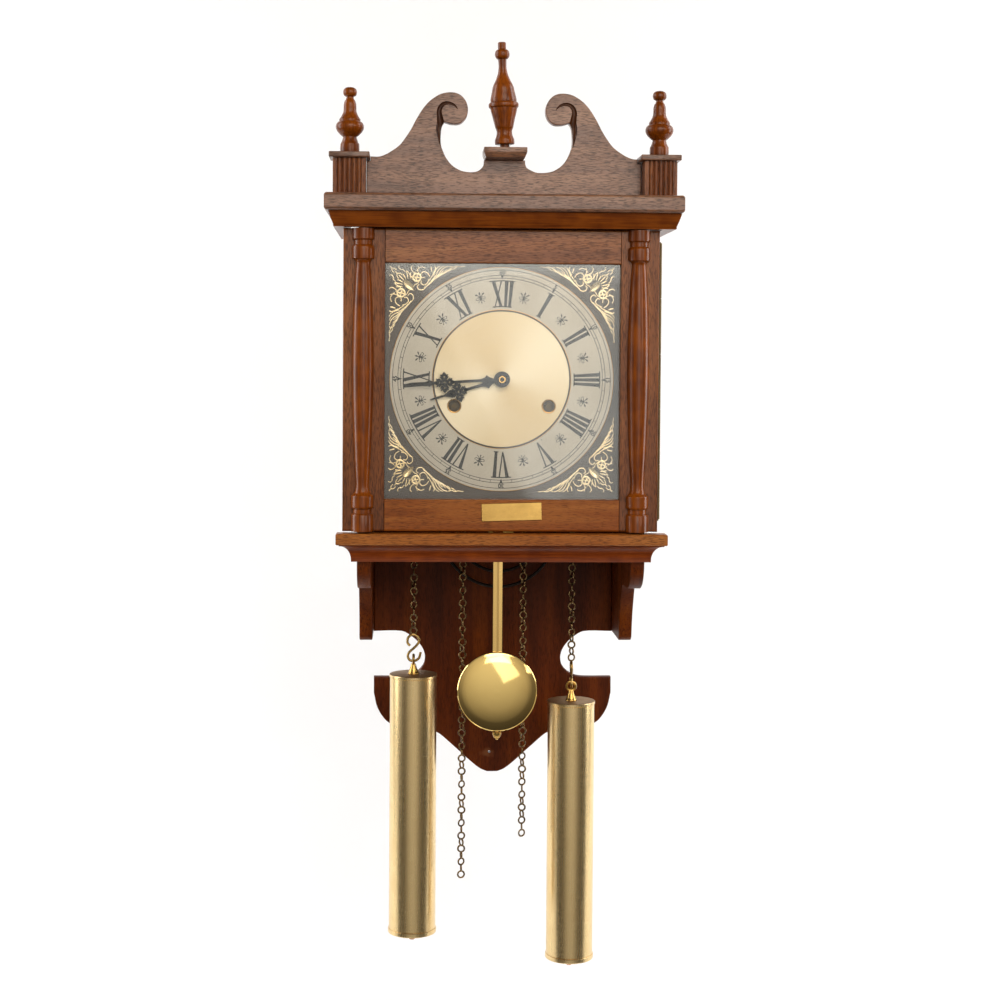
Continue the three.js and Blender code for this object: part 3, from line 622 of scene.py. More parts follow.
# oxide-blacked steel, the blasted dial plate, silvered brass, ink and gilt: even, fine-grained faces
steelBlued = gritMaterial("steel_blackened", "#1E1B17", "#100E0C", 0.34, metallic=0.6, grit=0.9)
gongSteel = gritMaterial("gong_steel", "#2A211B", "#17110D", 0.42, metallic=0.8, grit=1.2)
dialBlasted = gritMaterial("dial_plate_blasted", "#5A4F43", "#4A4138", 0.42, metallic=0.25, grit=0.6)
ringSilvered = gritMaterial("ring_silvered", "#C9C1B0", "#B8AF9D", 0.4, metallic=0.35, grit=0.7)
ringEdge = metalMaterial("ring_edge", "#D9A860", "#A87C3C", 0.3, wide=0.8, long=20)
dialInk = gritMaterial("printing_ink", "#26231F", "#1C1A17", 0.42, grit=0.8)
spandrelGold = gritMaterial("spandrel_gilt", "#F8E8C2", "#E4C88E", 0.3, metallic=0.75, grit=0.9)
spunBrass = spunMaterial("brass_spun", "#F7E9C9", "#DCC494")
glassFloat = glassMaterial()
print("materials made")


# Back board: square shoulders, a round notch each side, and a drop that ends in a blunt point
backBoard = {
    "half": 117.25, "top": 284.2, "ease": 1.3, "screwHole": 1.3, "screwX": -3.0, "screwHigh": -233.6,
    "wear": 8.5, "wearColour": "#7A4A2C", "hangerRoom": 0.3,
    "edge": [(117.25, -114), (117.25, -114), (90, -114), (81, -118.5), (73.5, -125), (68.5, -132.5),
             (66.8, -140),
             (68.3, -147.5), (73, -153.5), (80.5, -158), (90, -159.5), (117, -159.5), (117, -159.5),
             (117, -175), (117, -175), (113.5, -189.5), (105.5, -202), (97, -206.8), (76, -208.5),
             (56, -213.5), (38, -228), (22, -242.5), (12, -250.3), (5, -253.2)],
}


def addWear(material, reach, colour):
    # the varnish rubbed away in an uneven patch round the screw hole
    tree = material.node_tree
    shader = tree.nodes["Principled BSDF"]
    base = shader.inputs["Base Color"].links[0].from_socket
    place = addNode(tree, "TexCoord").outputs["Object"]
    ragged = addNode(tree, "TexNoise", {"Scale": 130.0, "Detail": 3.0}, {"Vector": place})
    offset = addNode(tree, "Mapping", {"Location": (-0.75 * (backBoard["screwX"] - 2) * mm, 0,
                                                    -1.3 * up(backBoard["screwHigh"])),
                                       "Scale": (0.75, 0.0, 1.3)}, {"Vector": place})
    far = addNode(tree, "VectorMath", links={0: offset.outputs["Vector"]}, operation="LENGTH")
    shift = addNode(tree, "Math", {1: reach * 1.8 * mm}, {0: ragged.outputs["Fac"]}, operation="MULTIPLY")
    edge = addNode(tree, "Math", links={0: far.outputs["Value"], 1: shift.outputs["Value"]}, operation="ADD")
    share = addNode(tree, "MapRange", {"From Min": reach * 1.1 * mm, "From Max": reach * 1.7 * mm,
                                       "To Min": 0.7,
                                       "To Max": 0.0}, {"Value": edge.outputs["Value"]})
    mixed = addNode(tree, "MixRGB", {"Color2": linear(colour)},
                    {"Fac": share.outputs["Result"], "Color1": base})
    tree.links.new(mixed.outputs["Color"], shader.inputs["Base Color"])


def makeBackBoard():
    addWear(walnutBack, backBoard["wear"], backBoard["wearColour"])
    low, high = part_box("back_board")
    half = backBoard["half"]
    edge = fair([(half, backBoard["top"]), (half, backBoard["top"])] + backBoard["edge"], 5)
    bm = bmesh.new()
    frontPrism(bm, mirrored(edge), high.y, low.y)
    ease(bm, backBoard["ease"], lambda p, e: p.y < low.y + 1e-5)
    tools = bmesh.new()
    turn(tools, [(0, -16), (backBoard["screwHole"], -16), (backBoard["screwHole"], 6), (0, 6)],
         (backBoard["screwX"] * mm, 0, up(backBoard["screwHigh"])), axis=(0, 1, 0), steps=24)
    plateLow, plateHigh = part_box("hanger_plate")
    spare = backBoard["hangerRoom"] * mm
    block(tools, (plateLow.x - spare, -0.0022, plateLow.z - spare),
          (plateHigh.x + spare, 0.002, plateHigh.z + spare))
    block(tools, (-0.006, -0.0085, up(259)), (0.006, -0.001, up(275)))  # pocket for the nail's head
    finishPiece(carve(bm, tools), "back_board_walnut", [walnutBack, grooveWood], "case",
                ("back_board",), merge=False)


# Side panels: straight down to the base, then an ogee foot under a nose
sidePanel = {"ease": 0.9, "top": 284.2, "edge": [
    (0, 284.2), (0, 284.2), (-150.4, 284.2), (-150.4, 284.2), (-150.4, -1.2), (-150.4, -1.2),
    (-163, -1.2), (-163, -1.2), (-163, -28), (-163, -28), (-161.6, -36), (-157.5, -43.5), (-151, -49.3),
    (-144, -53), (-138, -55), (-138, -55), (-97, -57), (-97, -57), (-92, -62), (-86, -72), (-79, -85),
    (-74, -99), (-71.5, -110), (-67, -113.6), (-67, -113.6), (0, -114), (0, -114)]}


def makeSidePanels():
    for side in ("left", "right"):
        low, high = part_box("side_panel_" + side)
        bm = bmesh.new()
        outline = [(low.x, p.x * mm, up(p.y)) for p in fair(sidePanel["edge"], 6)]
        prism(bm, outline, (high.x - low.x, 0, 0))
        ease(bm, sidePanel["ease"], lambda p, e: abs((e.verts[0].co - e.verts[1].co).x) < 1e-6, 2, 40)
        finishPiece(bm, "side_panel_" + side + "_walnut", walnutFoot, "case", ("side_panel_" + side,))


# Cornice: a board with rounded edges over one slanted band, mitred at the corners
cornice = {"round": 2.6, "bandLow": 270.6, "bandHigh": 284.2, "halfLow": 151.9, "halfHigh": 156.2,
           "bandX": 0.9,
           "frontLow": -181.5, "frontHigh": -187.5, "back": -2.0, "inside": 141.5, "insideFront": -172.5,
           "fillet": 1.3}


def makeCornice():
    low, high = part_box("cornice_board")
    bm = bmesh.new()
    block(bm, low, high)
    ease(bm, cornice["round"], lambda p, e: p.y < high.y - 0.001 and abs(p.z - (low.z + high.z) / 2) > 0.001,
         5)
    ease(bm, 0.8, None, 2, 60)
    finishPiece(bm, "cornice_board_walnut", walnutAcross, "case", ("cornice_board",))

    c = cornice
    outer = []
    # the band's face is very slightly hollow, with a narrow fillet at its foot
    for share, swell in ((0, 0), (c["fillet"] / 12.2, 0.0), (c["fillet"] / 12.2, 0.5), (0.3, 0.25),
                         (0.5, 0.0),
                         (0.7, -0.05), (0.9, 0.0), (1, 0)):
        z = c["bandLow"] + (c["bandHigh"] - c["bandLow"]) * share
        outer.append((z, c["halfLow"] + (c["halfHigh"] - c["halfLow"]) * share - swell,
                      c["frontLow"] + (c["frontHigh"] - c["frontLow"]) * share + swell))
    bm = bmesh.new()

    def ring(z, half, front):
        return [bm.verts.new((x * mm, y * mm, up(z))) for x, y in (
            (-half, c["back"]), (-half, front), (half, front), (half, c["back"]), (c["inside"], c["back"]),
            (c["inside"], c["insideFront"]), (-c["inside"], c["insideFront"]), (-c["inside"], c["back"]))]
    rings = [ring(*step) for step in outer]
    loops = [[bm.edges.new((r[i], r[(i + 1) % 8])) for i in range(8)] for r in rings]
    for a, b in zip(loops, loops[1:]):
        bmesh.ops.bridge_loops(bm, edges=a + b)
    bm.faces.new(rings[0])
    bm.faces.new(rings[-1])
    bmesh.ops.translate(bm, verts=[v for v in bm.verts if abs(v.co.x) > (c["inside"] + 1) * mm],
                        vec=(c["bandX"] * mm, 0, 0))
    finishPiece(bm, "cornice_moulding_beech", beechMoulded, "case", ("cornice_moulding",),
                angle=20,
                flatOver=1)


# Base moulding under the door: a flat strip, a quirk, then a cove that runs in to the panels
baseMoulding = {"back": -163.3, "steps": [
    (-1.5, 147.2, -180.2), (-2.3, 148, -181), (-10.7, 148, -181), (-11.5, 147.2, -180.2),
    (-11.5, 145.5, -178.5), (-12.6, 145.2, -178.2)], "coveFoot": (-26.0, 134.7, -168.2), "foot": -27.5}


def makeBaseMoulding():
    b = baseMoulding
    steps = list(b["steps"])
    (z0, half0, front0), (z1, half1, front1) = steps[-1], b["coveFoot"]
    for k in range(1, 11):
        a = k / 10 * math.pi / 2
        steps.append((z0 + (z1 - z0) * (1 - math.cos(a)), half0 + (half1 - half0) * math.sin(a),
                      front0 + (front1 - front0) * math.sin(a)))
    steps.append((b["foot"], half1, front1))
    bm = bmesh.new()
    rings = [[bm.verts.new((x * mm, y * mm, up(z))) for x, y in (
        (-half, front), (half, front), (half, b["back"]), (-half, b["back"]))] for z, half, front in steps]
    loops = [[bm.edges.new((r[i], r[(i + 1) % 4])) for i in range(4)] for r in rings]
    for a, c in zip(loops, loops[1:]):
        bmesh.ops.bridge_loops(bm, edges=a + c)
    bm.faces.new(rings[0])
    bm.faces.new(rings[-1])
    for face in bm.faces:
        face.material_index = 0 if face.calc_center_median().z > up(-11.4) else 1
    finishPiece(bm, "base_moulding_walnut", [walnutBase, beechCove], "case", ("base_moulding",),
                angle=30, flatOver=1)


# Pediment: a scrolled board with a gouged volute each side, deepest where it leaves the neck
pediment = {
    "ease": 0.8,
    "edge": [(0, 333.3), (0, 333.3), (17.2, 333.3), (17.2, 333.3), (17.4, 330), (19, 326.6), (22.5, 323.6),
             (27, 322.4), (33, 322.6), (39, 324), (46, 328.3), (51.5, 335), (55.3, 343.5), (56.5, 349),
             (56.2, 358), (55.2, 364), (53, 367.3), (53, 367.3), (46.5, 365.6), (39, 366.2), (33.5, 371.5),
             (32, 379), (34, 386), (39, 391.5), (46, 393.7), (55.5, 392.5), (63.5, 388), (68.5, 383.6),
             (73, 378), (78.5, 369), (83.5, 359.5), (91, 348.5), (95.5, 344), (100.5, 340.5),
             (105.5, 337.6), (111.5, 335.5), (119.2, 335.5), (119.2, 335.5), (119.2, 331.7), (119.2, 331.7),
             (122.7, 331.7), (122.7, 331.7), (122.7, 300.3), (122.7, 300.3), (0, 300.3), (0, 300.3)],
    # how much further out the right-hand scroll stands than the left one, from each distance on
    "drift": [(118, 2.1), (30, 6.0), (21, 4.5), (5, 2.5), (0, 0.0)],
    # x, height, radius of the gouge
    "gouge": [(41.0, 378.2, 0.1), (42.8, 380.8, 0.7), (46.0, 383.0, 1.2), (50.2, 384.0, 1.5),
              (54.2, 382.9, 1.8), (57.0, 379.8, 2.1), (57.9, 375.8, 2.3), (57.3, 371.6, 2.6),
              (56.6, 366.8, 3.2), (56.9, 361.8, 3.7), (57.2, 357.0, 3.0), (57.4, 352.6, 1.8),
              (57.2, 348.6, 0.8), (56.4, 345.0, 0.1)],
}


def driftAt(x):
    return next(shift for start, shift in pediment["drift"] if x >= start)


def makePediment():
    low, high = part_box("pediment_board")
    bm = bmesh.new()
    left = fair(pediment["edge"], 5)
    right = fair([(x + driftAt(x), z) for x, z in pediment["edge"]], 5)
    frontPrism(bm, right + [Vector((-p.x, p.y)) for p in reversed(left[1:-1])], high.y, low.y)
    ease(bm, pediment["ease"], lambda p, e: p.y < low.y + 1e-5, 2)
    tools = bmesh.new()
    for sign in (-1, 1):
        path = fair([(sign * x + (driftAt(x) if sign > 0 else 0), h, r) for x, h, r in pediment["gouge"]], 5)
        groove = wire([[(p.x * mm, low.y, up(p.y), max(p.z, 0.05)) for p in path]], mm, sides=4)
        tools.from_mesh(groove)
    finishPiece(carve(bm, tools), "pediment_walnut", [walnutAcross, grooveWood], "case",
                ("pediment_board",), merge=False)


# Plinth plate with a bevelled underside
plinth = {"half": 19.2, "halfLow": 17.4, "front": -178.0, "frontLow": -176.0, "back": -139.0,
          "high": 342.3, "mid": 338.0, "low": 333.6, "ease": 0.5, "x": 0.9}


def makePlinth():
    p = plinth
    bm = bmesh.new()
    made = prism(bm, [(x * mm, y * mm, up(p["high"])) for x, y in (
        (-p["half"], p["back"]), (-p["half"], p["front"]), (p["half"], p["front"]), (p["half"], p["back"]))],
        (0, 0, (p["mid"] - p["high"]) * mm))
    foot = [f for f in bm.faces if all(v in made for v in f.verts)]
    grown = bmesh.ops.extrude_face_region(bm, geom=foot)
    for vert in (g for g in grown["geom"] if isinstance(g, bmesh.types.BMVert)):
        front = vert.co.y < (p["front"] + 1) * mm
        vert.co = (math.copysign(p["halfLow"] * mm, vert.co.x), (p["frontLow"] if front else p["back"]) * mm,
                   up(p["low"]))
    bmesh.ops.delete(bm, geom=[f for f in foot if f.is_valid], context="FACES_ONLY")
    ease(bm, p["ease"], lambda c, e: c.z > up(p["mid"]) - 1e-5, 2, 20)
    bmesh.ops.translate(bm, verts=bm.verts, vec=(p["x"] * mm, 0, 0))
    finishPiece(bm, "plinth_walnut", walnutAcross, "case", ("plinth_plate",))


# Pedestals: a plain block with five half-round reeds sunk between two flat borders
pedestal = {"reeds": 5, "reedSpan": 21.6, "reedDeep": 1.6, "ease": 0.35, "capEase": 0.9}


def makePedestals():
    for side in ("left", "right"):
        low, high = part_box("pedestal_" + side)
        middle = (low.x + high.x) / 2
        count, span = pedestal["reeds"], pedestal["reedSpan"] * mm
        crest = low.y
        floor = crest + pedestal["reedDeep"] * mm
        border = crest + 0.0003
        plan = [(high.x, high.y), (low.x, high.y), (low.x, border), (middle - span / 2 - 0.0002, border),
                (middle - span / 2, floor)]
        for k in range(count):
            start = middle - span / 2 + k * span / count
            for j in range(0, 9):
                a = j / 8 * math.pi
                plan.append((start + span / count * (0.5 - 0.47 * math.cos(a)),
                             floor + (crest - floor) * math.sin(a)))
        plan += [(middle + span / 2, floor), (middle + span / 2 + 0.0002, border), (high.x, border)]
        bm = bmesh.new()
        prism(bm, [(x, y, low.z) for x, y in plan], (0, 0, high.z - low.z))
        finishPiece(bm, "pedestal_" + side + "_walnut", walnutPost, "case", ("pedestal_" + side,),
                    angle=40)
        bm = bmesh.new()
        low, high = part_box("pedestal_cap_" + side)
        block(bm, low, high)
        ease(bm, pedestal["capEase"], None, 3)
        finishPiece(bm, "pedestal_cap_" + side + "_walnut", walnutAcross, "case", ("pedestal_cap_" + side,))


# Turned finials; a point given twice is a crisp corner of the turning
finials = {
    "steps": 56, "lean": -0.035, "y": -160.0,
    "centre": [(0, 342.6), (0, 342.6), (4.5, 342.6), (4.5, 342.6), (4.2, 346.2), (4.2, 346.2), (8.2, 346.4),
               (8.7, 347), (8.7, 350.4), (8.3, 351.6), (8.3, 351.6), (7.2, 354.6), (6.9, 357.8), (7.6, 360.4),
               (7.6, 360.4), (8.0, 361), (9.6, 368), (11.4, 375), (12.2, 378.6), (12.2, 378.6), (12.7, 378.9),
               (13.4, 380), (13.4, 382.2), (12.6, 383.5), (11.6, 384), (11.6, 384), (11.7, 384.9),
               (11.6, 387), (10.3, 393), (9.2, 398), (6.3, 404.2), (4.4, 409.5), (3.5, 415.5), (3.8, 422),
               (3.8, 422), (5.2, 422.8), (6.3, 424.6), (6.5, 427.3), (5.6, 429.8), (3.8, 431.0), (3.8, 431.0),
               (3.6, 431.6), (3.6, 436.4), (3.6, 436.4), (3.2, 437.1), (3.0, 437.2), (3.0, 437.2), (0, 437.3),
               (0, 437.3)],
    "side": [(0, 337.3), (0, 337.3), (8.4, 337.3), (8.4, 337.3), (8.6, 341), (8.4, 345), (8.4, 345),
             (7.2, 347.4), (6.1, 350.8), (6.1, 351.4), (6.1, 351.4), (8.4, 353.2), (11.4, 356.6), (12.6, 360),
             (11.9, 363), (10.6, 364.6), (10.6, 364.6), (9.5, 365), (9.5, 367), (9.5, 367), (7.4, 370.2),
             (5.9, 374), (5.5, 380.6), (4.6, 383.6), (4.0, 384.2), (4.0, 384.2), (3.3, 385.8), (3.3, 387),
             (3.3, 387), (5.2, 388), (6.2, 390.6), (5.4, 393.8), (3.2, 395.3), (0, 395.7), (0, 395.7)],
}


def makeFinials():
    foot = finials["centre"][0][1]
    centre = Vector((plinth["x"] * mm, finials["y"] * mm, up(foot)))
    bm = bmesh.new()
    turn(bm, [(p.x, p.y - foot) for p in fair(finials["centre"], 4)], centre, steps=finials["steps"])
    bmesh.ops.rotate(bm, verts=bm.verts, cent=centre, matrix=Matrix.Rotation(finials["lean"], 3, "Y"))
    finishPiece(bm, "finial_center_beech", beechTurned, "case", ("finial_center",))
    foot = finials["side"][0][1]
    for side in ("left", "right"):
        low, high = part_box("finial_" + side)
        middle = (low + high) / 2
        bm = bmesh.new()
        turn(bm, [(p.x, p.y - foot) for p in fair(finials["side"], 4)], (middle.x, middle.y, up(foot)),
             steps=finials["steps"])
        finishPiece(bm, "finial_" + side + "_beech", beechTurned, "case", ("finial_" + side,))


# Half columns: plain ends, a bead each end and a slim vase between
column = {"steps": 24, "profile": [
    (0, 0.2), (0, 0.2), (10, 0.2), (10, 0.2), (10, 14.6), (10, 14.6), (9.4, 15.8), (8.3, 16.4), (8.3, 16.4),
    (8.3, 20.2), (8.3, 20.2), (9.6, 21.0), (10.3, 23.4), (10.3, 30.6), (9.8, 32.2), (8.6, 33.2), (8.6, 33.2),
    (7.0, 35.4), (6.1, 39.6), (6.2, 46), (7.2, 62), (8.7, 95), (9.8, 133), (9.7, 165), (8.5, 205), (7.1, 230),
    (6.4, 238.6), (7.0, 240.8), (8.2, 242.2), (8.2, 242.2), (10, 243.0), (10, 243.0), (10.2, 248),
    (10, 253.2),
    (10, 253.2), (9.2, 254.6), (8.3, 255.2), (8.3, 255.2), (8.3, 259.0), (8.3, 259.0), (10, 260.4),
    (10, 260.4),
    (10, 269.8), (10, 269.8), (0, 269.8), (0, 269.8)]}


def makeColumns():
    for side in ("left", "right"):
        low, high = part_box("half_column_" + side)
        middle = (low.x + high.x) / 2
        widest = (high.x - low.x) / 2 / mm
        bm = bmesh.new()
        line = [(min(p.x, widest), p.y) for p in fair(column["profile"], 4)]
        turn(bm, line, (middle, high.y, doorFoot), out=(1, 0, 0), axis=(0, 0, -1), steps=column["steps"],
             sweep=math.pi)
        # spun about -z so that it bulges to the front, then flipped the right way up
        bmesh.ops.scale(bm, vec=(1, 1, -1), verts=bm.verts,
                        space=Matrix.Translation((0, 0, -doorFoot)))
        bmesh.ops.holes_fill(bm, edges=[e for e in bm.edges if e.is_boundary], sides=0)
        finishPiece(bm, "half_column_" + side + "_beech", beechTurned, "door", ("half_column_" + side,))


# Door: stiles the full height, rails between them with a fine joint line, and the name plate
door = {"outer": 1.8, "inner": 0.9, "joint": 0.25}


def makeDoor():
    for side in ("left", "right"):
        node = "door_stile_" + side
        low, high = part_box(node)
        bm = bmesh.new()
        block(bm, low, high)
        ease(bm, door["outer"], lambda p, e: p.y < low.y + 1e-5 and abs(p.x) > 0.13 or
             p.y < low.y + 1e-5 and abs(p.z - (low.z + high.z) / 2) > 0.13, 3)
        ease(bm, door["inner"], lambda p, e: p.y < low.y + 1e-5 and abs(p.x) < 0.11, 3, 60)
        finishPiece(bm, node + "_walnut", walnutUp, "door", (node,))
    for end in ("top", "bottom"):
        node = "door_rail_" + end
        low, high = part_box(node)
        bm = bmesh.new()
        block(bm, low, high)
        ease(bm, door["outer"], lambda p, e: p.y < low.y + 1e-5 and
             abs(p.z - (high.z if end == "top" else low.z)) < 1e-5, 3)
        ease(bm, door["inner"], lambda p, e: p.y < low.y + 1e-5 and
             abs(p.z - (low.z if end == "top" else high.z)) < 1e-5, 3, 60)
        ease(bm, door["joint"], lambda p, e: p.y < low.y + 0.003 and abs(p.x) > 0.1, 1, 60)
        finishPiece(bm, node + "_walnut", walnutRail if end == "top" else walnutLow, "door", (node,))


namePlate = {"wide": 54.0, "high": 16.0, "thick": 1.0, "edge": 0.35, "turn": -0.031}


def makeNamePlate():
    n = namePlate
    low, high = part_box("name_plate")
    middle = (low + high) / 2
    bm = bmesh.new()
    block(bm, (-n["wide"] / 2 * mm, -n["thick"] / 2 * mm, -n["high"] / 2 * mm),
          (n["wide"] / 2 * mm, n["thick"] / 2 * mm, n["high"] / 2 * mm))
    ease(bm, n["edge"], lambda p, e: p.y < 0 and abs((e.verts[0].co - e.verts[1].co).y) < 1e-6, 2)
    bmesh.ops.rotate(bm, verts=bm.verts, matrix=Matrix.Rotation(n["turn"], 3, "Y"))
    bmesh.ops.translate(bm, verts=bm.verts, vec=middle)
    finishPiece(bm, "name_plate_brass", brassPlate, "door", ("name_plate",))


makeBackBoard()
makeSidePanels()
makeCornice()
makeBaseMoulding()
makePediment()
makePlinth()
makePedestals()
makeFinials()
print("case made")
makeColumns()
makeDoor()
makeNamePlate()
print("door made")


# Dial: radii of the printing on the chapter ring
dial = {
    "numeralIn": 65.2, "numeralOut": 89.4, "lineOut": 98.6, "trackOut": 93.8, "trackIn": 91.3,
    "lineWide": 0.5,
    "tickWide": 0.42, "minuteMiddle": 96.2, "minuteTall": 3.9, "ornamentAt": 76.0, "print": 0.12,
    "stem": 2.85, "gap": 1.3, "serif": 1.0, "serifReach": 1.2, "thin": 1.15,
    "letters": {"I": 2.85, "V": 9.4, "X": 9.8}, "loneStem": 1.12,
    # radius at which a width across the ring is true
    "trueAt": 77.3,
}
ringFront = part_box("chapter_ring")[0].y


def polar(turned, u, v, y):
    # u mm across and v mm out from the hands' axis, on a ray turned clockwise from twelve
    a = turned + u / dial["trueAt"]
    return Vector((dialAxis.x + math.sin(a) * v * mm, y, dialAxis.z + math.cos(a) * v * mm))


def inkShape(bm, turned, points):
    raised = ringFront - dial["print"] * mm
    prism(bm, [polar(turned, u, v, raised) for u, v in points], (0, dial["print"] * mm + 0.00002, 0))


def inkBar(bm, turned, u0, u1, v, thick):
    # a serif or a tick line that follows the ring
    parts = max(1, round((u1 - u0) / 3))
    line = [u0 + (u1 - u0) * k / parts for k in range(parts + 1)]
    inkShape(bm, turned, [(u, v - thick / 2) for u in line] + [(u, v + thick / 2) for u in reversed(line)])


def makeNumeral(bm, text, turned):
    d = dial
    low, high = d["numeralIn"] + d["serif"] / 2, d["numeralOut"] - d["serif"] / 2
    widths = [d["letters"][c] for c in text]
    if text == "I":
        widths = [d["stem"] * d["loneStem"]]
    whole = sum(widths) + d["gap"] * (len(text) - 1)
    u = -whole / 2
    for letter, wide in zip(text, widths):
        if letter == "I":
            inkShape(bm, turned, [(u, low), (u + wide, low), (u + wide, high), (u, high)])
        elif letter == "X":
            # thick stroke from the outer left to the inner right, thin one across it
            inkShape(bm, turned, [(u + wide - d["stem"] - 0.5, low), (u + wide - 0.5, low),
                                  (u + d["stem"] + 0.5, high), (u + 0.5, high)])
            inkShape(bm, turned, [(u + 0.9, low), (u + 0.9 + d["thin"], low), (u + wide - 0.9, high),
                                  (u + wide - 0.9 - d["thin"], high)])
        else:
            foot = u + wide * 0.53
            inkShape(bm, turned, [(foot - 0.55, low), (foot + 0.75, low), (u + d["stem"] + 0.5, high),
                                  (u + 0.5, high)])
            inkShape(bm, turned, [(foot - 0.3, low), (foot + d["thin"] - 0.3, low),
                                  (u + wide - 0.6, high), (u + wide - 0.6 - d["thin"], high)])
        u += wide + d["gap"]
    reach = d["serifReach"]
    inkBar(bm, turned, -whole / 2 - reach, whole / 2 + reach, high, d["serif"])
    if text[0] == "V" and len(text) > 1:
        first = -whole / 2 + widths[0] + d["gap"]
        inkBar(bm, turned, first - reach, whole / 2 + reach, low, d["serif"])
    elif text[-1] == "V":
        ends = whole / 2 - widths[-1] - d["gap"]
        inkBar(bm, turned, -whole / 2 - reach, ends + reach, low, d["serif"])
    else:
        inkBar(bm, turned, -whole / 2 - reach, whole / 2 + reach, low, d["serif"])


def makeOrnament(turned):
    # a small flower between the numerals: spade petal and leaves outwards, curled roots inwards
    strokes = [[(0, 0.2, .7), (0, 2.6, .55), (0, 3.9, 1.2), (0, 5.4, .15)],
               [(0, 0, 1.5), (0, 0.3, 1.5), (0, .9, 1.3)],
               [(0, -0.5, .8), (0, -3.4, .4), (0, -4.6, .8), (0, -5.2, .5)]]
    for s in (-1, 1):
        strokes += [[(0, .4, .7), (s * 1.6, 2.0, .45), (s * 3.1, 3.2, 1.05), (s * 4.2, 3.9, .2)],
                    [(0, .2, .7), (s * 2.4, .5, .55), (s * 3.2, .1, .3)],
                    [(0, -.4, .6), (s * 2.2, -1.5, .4), (s * 3.8, -1.6, .45), (s * 4.5, -.3, .4),
                     (s * 3.7, .2, .5)],
                    [(0, -.4, .6), (s * 1.3, -2.6, .4), (s * 2.5, -3.5, .4), (s * 3.2, -4.3, .6)]]
    paths = []
    for stroke in strokes:
        paths.append([(*polar(turned, q.x, dial["ornamentAt"] + q.y, ringFront), q.z) for q in fair(stroke,
                                                                                                    3)])
    return wire(paths, 0.75 * mm, sides=1)


def makeDialPrint():
    d = dial
    numerals = ["XII", "I", "II", "III", "IIII", "V", "VI", "VII", "VIII", "IX", "X", "XI"]
    bm = bmesh.new()
    for i, text in enumerate(numerals):
        makeNumeral(bm, text, i * math.tau / 12)
        flat = makeOrnament((i + 0.5) * math.tau / 12)
        flat.transform(Matrix.Translation((0, ringFront, 0)) @ Matrix.Diagonal((1, 0.12, 1, 1))
                       @ Matrix.Translation((0, -ringFront, 0)))
        bm.from_mesh(flat)
    for r in (d["lineOut"], d["trackOut"], d["trackIn"]):
        w = d["lineWide"] / 2
        turn(bm, [(r - w, -d["print"]), (r + w, -d["print"]), (r + w, 0.02), (r - w, 0.02)],
             (dialAxis.x, ringFront, dialAxis.z), axis=(0, 1, 0), steps=180, loop=True)
    for minute in range(60):
        turned = minute * math.tau / 60
        half = d["tickWide"] / 2 * d["trueAt"] / 92
        if minute % 5:
            inkShape(bm, turned, [(-half, d["trackIn"]), (half, d["trackIn"]), (half, d["trackOut"]),
                                  (-half, d["trackOut"])])
        else:
            # a solid arrowhead over the track, its point inwards
            inkShape(bm, turned, [(0, d["trackIn"] - 1.4), (1.25, d["trackOut"] + 0.5),
                                  (-1.25, d["trackOut"] + 0.5)])
    for minute in range(5, 65, 5):
        text = bpy.data.curves.new("minute", "FONT")
        text.body = str(minute)
        text.align_x, text.align_y = "CENTER", "CENTER"
        text.size = d["minuteTall"] * 1.36
        text.extrude = d["print"] / 2
        text.offset = 0.16
        figure = meshFrom(bpy.data.objects.new("minute", text))
        turned = minute * math.tau / 60
        place = polar(turned, 0, d["minuteMiddle"], ringFront - d["print"] / 2 * mm)
        figure.transform(Matrix.Translation(place) @ Matrix.Rotation(turned, 4, "Y")
                         @ Matrix.Rotation(math.pi / 2, 4, "X") @ Matrix.Scale(mm, 4))
        bm.from_mesh(figure)
    finishPiece(bm, "dial_printing", dialInk, "case", angle=30, merge=False)


# Chapter ring: silvered face with a turned gold edge inside and out
chapterRing = {"inner": 62.6, "edgeOut": 0.6, "edgeIn": 0.5, "steps": 160}


def makeRing():
    low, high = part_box("chapter_ring")
    outer = (high.x - low.x) / 2 / mm
    inner, thick, steps = chapterRing["inner"], (high.y - low.y) / mm, chapterRing["steps"]
    faceOut, faceIn = outer - chapterRing["edgeOut"], inner + chapterRing["edgeIn"]
    centre = (dialAxis.x, low.y, dialAxis.z)
    bm = bmesh.new()
    turn(bm, [(faceIn, 0), (faceOut, 0), (faceOut, thick), (faceIn, thick)], centre,
         axis=(0, 1, 0), steps=steps, loop=True)
    finishPiece(bm, "chapter_ring_silvered", ringSilvered, "case", ("chapter_ring",))
    bm = bmesh.new()
    for profile in ([(faceOut, 0.02), (outer - 0.35, 0), (outer, 0.35), (outer, thick), (faceOut, thick)],
                    [(faceIn, 0.02), (inner + 0.25, 0), (inner, 0.3), (inner, thick), (faceIn, thick)]):
        turn(bm, profile, centre, axis=(0, 1, 0), steps=steps, loop=True)
    finishPiece(bm, "chapter_ring_edges", ringEdge, "case", angle=50)


centreDisc = {"radius": 61.3, "hole": 4.4, "wind": 5.6, "windX": 42.8, "windDrop": 24.2, "edge": 0.25,
              "rim": 0.9}


def circle(x, z, r, count):
    return [(x + r * math.cos(a), z + r * math.sin(a)) for a in (k / count * math.tau for k in range(count))]


